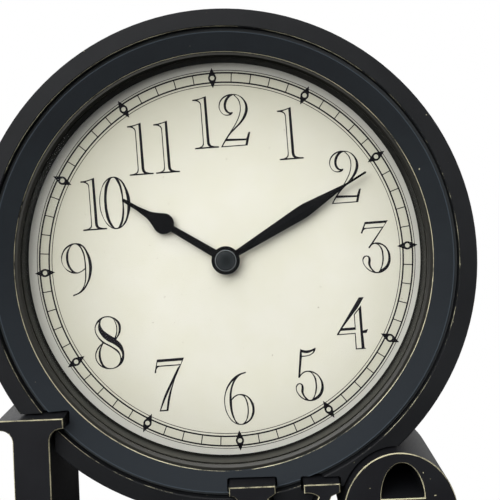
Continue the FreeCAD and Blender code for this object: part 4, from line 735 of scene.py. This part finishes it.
spun_brass, tree, shader, place = new_finish("spun_brass", {"Metallic": 1.0, "Roughness": 0.22})
bob_radius = distance_from_axis(tree, place, bob_centre.x, bob_centre.z)
turning = add(tree, "ShaderNodeMath", {"operation": "MULTIPLY", 0: bob_radius,
                                       1: math.tau * 1000 / ring_mm})
rings = add(tree, "ShaderNodeMath", {"operation": "SINE", 0: turning.outputs[0]})
ring_bump = add(tree, "ShaderNodeBump", {"Height": rings.outputs[0], "Strength": 0.15,
                                         "Distance": 0.00002})
tree.links.new(ring_bump.outputs[0], shader.inputs["Normal"])
colour_mottled(tree, shader, place, 7, "#cba455", "#dfbc72")
dress(spun_brass, "pendulum_bob")

# Sintered ferrite is a dull dark grey with a fine grain.
ferrite, tree, shader, place = new_finish("sintered_ferrite", {"Roughness": 0.6})
colour_mottled(tree, shader, place, 1.5, "#2f3033", "#3c3d40")
roughen(tree, shader, place, 0.4, 0.03)
dress(ferrite, "hanger_magnet")

# Floor and background
# A plain white table and wall, seen as an even white by the camera and in far reflections.
# For all other rays they are painted a dark grey, so that near the clock the table shows in
# reflections as painted shade, and bounced light from table and wall is dimmed too.
# Right under the clock the lamps light a share of the table, which keeps the clock's soft shadow.

# Distances from the clock's middle: the first two for reflections, and the last two for the shadow,
# with the length squeezed for them, because the clock is long from side to side.
shaded_reach = 0.2
open_reach = 0.5
footprint_squeeze = (0.3, 1.0, 0.0)
under_clock = 0.03
beside_clock = 0.058


def white_surface(name, lit_share):
    material, tree, shader, ground = new_finish(name, {"Roughness": 0.9})
    ray = add(tree, "ShaderNodeLightPath", {}).outputs
    # Painted shade: rays other than the camera's see the table and wall as a dark grey.
    shade = add(tree, "ShaderNodeMix", {"data_type": "RGBA", 0: ray["Is Camera Ray"],
                                        6: linear("#4a4a4a"), 7: linear("#c4c4c2")})
    tree.links.new(shade.outputs[2], shader.inputs["Base Color"])
    away = add(tree, "ShaderNodeVectorMath", {"operation": "LENGTH", 0: ground}).outputs["Value"]
    in_open = add(tree, "ShaderNodeMapRange", {"Value": away, "From Min": shaded_reach,
                                               "From Max": open_reach})
    reflected = add(tree, "ShaderNodeMath", {"operation": "MULTIPLY", 0: ray["Is Glossy Ray"],
                                             1: in_open.outputs[0]})
    direct = add(tree, "ShaderNodeMath", {"operation": "MAXIMUM", 0: ray["Is Camera Ray"],
                                          1: ray["Is Transmission Ray"]})
    seen = add(tree, "ShaderNodeMath", {"operation": "MAXIMUM", 0: direct.outputs[0],
                                        1: reflected.outputs[0]})
    footprint = add(tree, "ShaderNodeMapping", {"Vector": ground, "Scale": footprint_squeeze})
    beside = add(tree, "ShaderNodeVectorMath", {"operation": "LENGTH", 0: footprint.outputs[0]})
    lit = add(tree, "ShaderNodeMapRange", {"Value": beside.outputs["Value"], "From Min": under_clock,
                                           "From Max": beside_clock, "To Min": lit_share, "To Max": 0.0})
    glowing = add(tree, "ShaderNodeMath", {"operation": "SUBTRACT", 0: 1.0, 1: lit.outputs[0]})
    share = add(tree, "ShaderNodeMath", {"operation": "MULTIPLY", 0: seen.outputs[0],
                                         1: glowing.outputs[0]})
    glow = add(tree, "ShaderNodeEmission", {"Strength": 1.0})
    mixed = add(tree, "ShaderNodeMixShader", {0: share.outputs[0], 1: shader.outputs[0],
                                              2: glow.outputs[0]})
    tree.links.new(mixed.outputs[0], tree.nodes["Material Output"].inputs["Surface"])
    return material


def backdrop_plane(name, material, placing):
    sheet = bmesh.new()
    bmesh.ops.create_grid(sheet, x_segments=1, y_segments=1, size=backdrop_size / 2, matrix=placing)
    mesh = bpy.data.meshes.new(name)
    sheet.to_mesh(mesh)
    sheet.free()
    mesh.materials.append(material)
    plane = bpy.data.objects.new(name, mesh)
    bpy.context.scene.collection.objects.link(plane)


backdrop_size = 12.0
wall_distance = 3.0
backdrop_plane("table", white_surface("white_table", 0.35), Matrix.Identity(4))
backdrop_plane("wall", white_surface("white_wall", 0.0),
               Matrix.Translation((0, wall_distance, 0)) @ upright)

world = bpy.data.worlds.new("studio")
bpy.context.scene.world = world
world.use_nodes = True
tree = world.node_tree
studio = tree.nodes["Background"]
studio.inputs["Color"].default_value = linear("#ffffff")
studio.inputs["Strength"].default_value = 0.05
seen_white = add(tree, "ShaderNodeBackground", {"Color": linear("#ffffff"), "Strength": 1.0})
ray = add(tree, "ShaderNodeLightPath", {}).outputs
either = add(tree, "ShaderNodeMixShader", {0: ray["Is Camera Ray"], 1: studio.outputs[0],
                                           2: seen_white.outputs[0]})
tree.links.new(either.outputs[0], tree.nodes["World Output"].inputs["Surface"])

# Lamps
# One soft box stands above in front, one to the front left, and one behind, which gives the top
# faces their sheen.

lamp_target = Vector((0, 0, 0.14))


def soft_box(name, place, size, watts):
    lamp = bpy.data.lights.new(name, "AREA")
    lamp.shape = "SQUARE"
    lamp.size = size
    lamp.energy = watts
    holder = bpy.data.objects.new(name, lamp)
    aim = (lamp_target - Vector(place)).to_track_quat("-Z", "Y")
    holder.matrix_world = Matrix.Translation(place) @ aim.to_matrix().to_4x4()
    bpy.context.scene.collection.objects.link(holder)


soft_box("top_box", (-0.25, -1.2, 1.35), 2.0, 42)
soft_box("left_box", (-1.0, -1.4, 0.75), 1.4, 17)
soft_box("back_box", (-0.6, 1.9, 0.8), 0.7, 5)

# Camera
# Level and some 50 mm above the hand axis, tilted about its own line of sight.
# The photo is the lower part of a taller picture, hence the shift.

camera_place = (0.01675, -0.4235, 0.20616)
turned_left, raised, rolled = (math.radians(angle) for angle in (0.2, 90.11, -2.34))

camera_data = bpy.data.cameras.new("camera")
camera_data.lens = 57.62
camera_data.sensor_width = 36.0
camera_data.shift_y = -0.1737
camera_data.clip_start = 0.01
camera = bpy.data.objects.new("camera", camera_data)
camera.matrix_world = (Matrix.Translation(camera_place)
                       @ Matrix.Rotation(turned_left, 4, "Z")
                       @ Matrix.Rotation(raised, 4, "X")
                       @ Matrix.Rotation(rolled, 4, "Z"))
bpy.context.scene.collection.objects.link(camera)
bpy.context.scene.camera = camera
bpy.context.scene.view_settings.view_transform = "Standard"
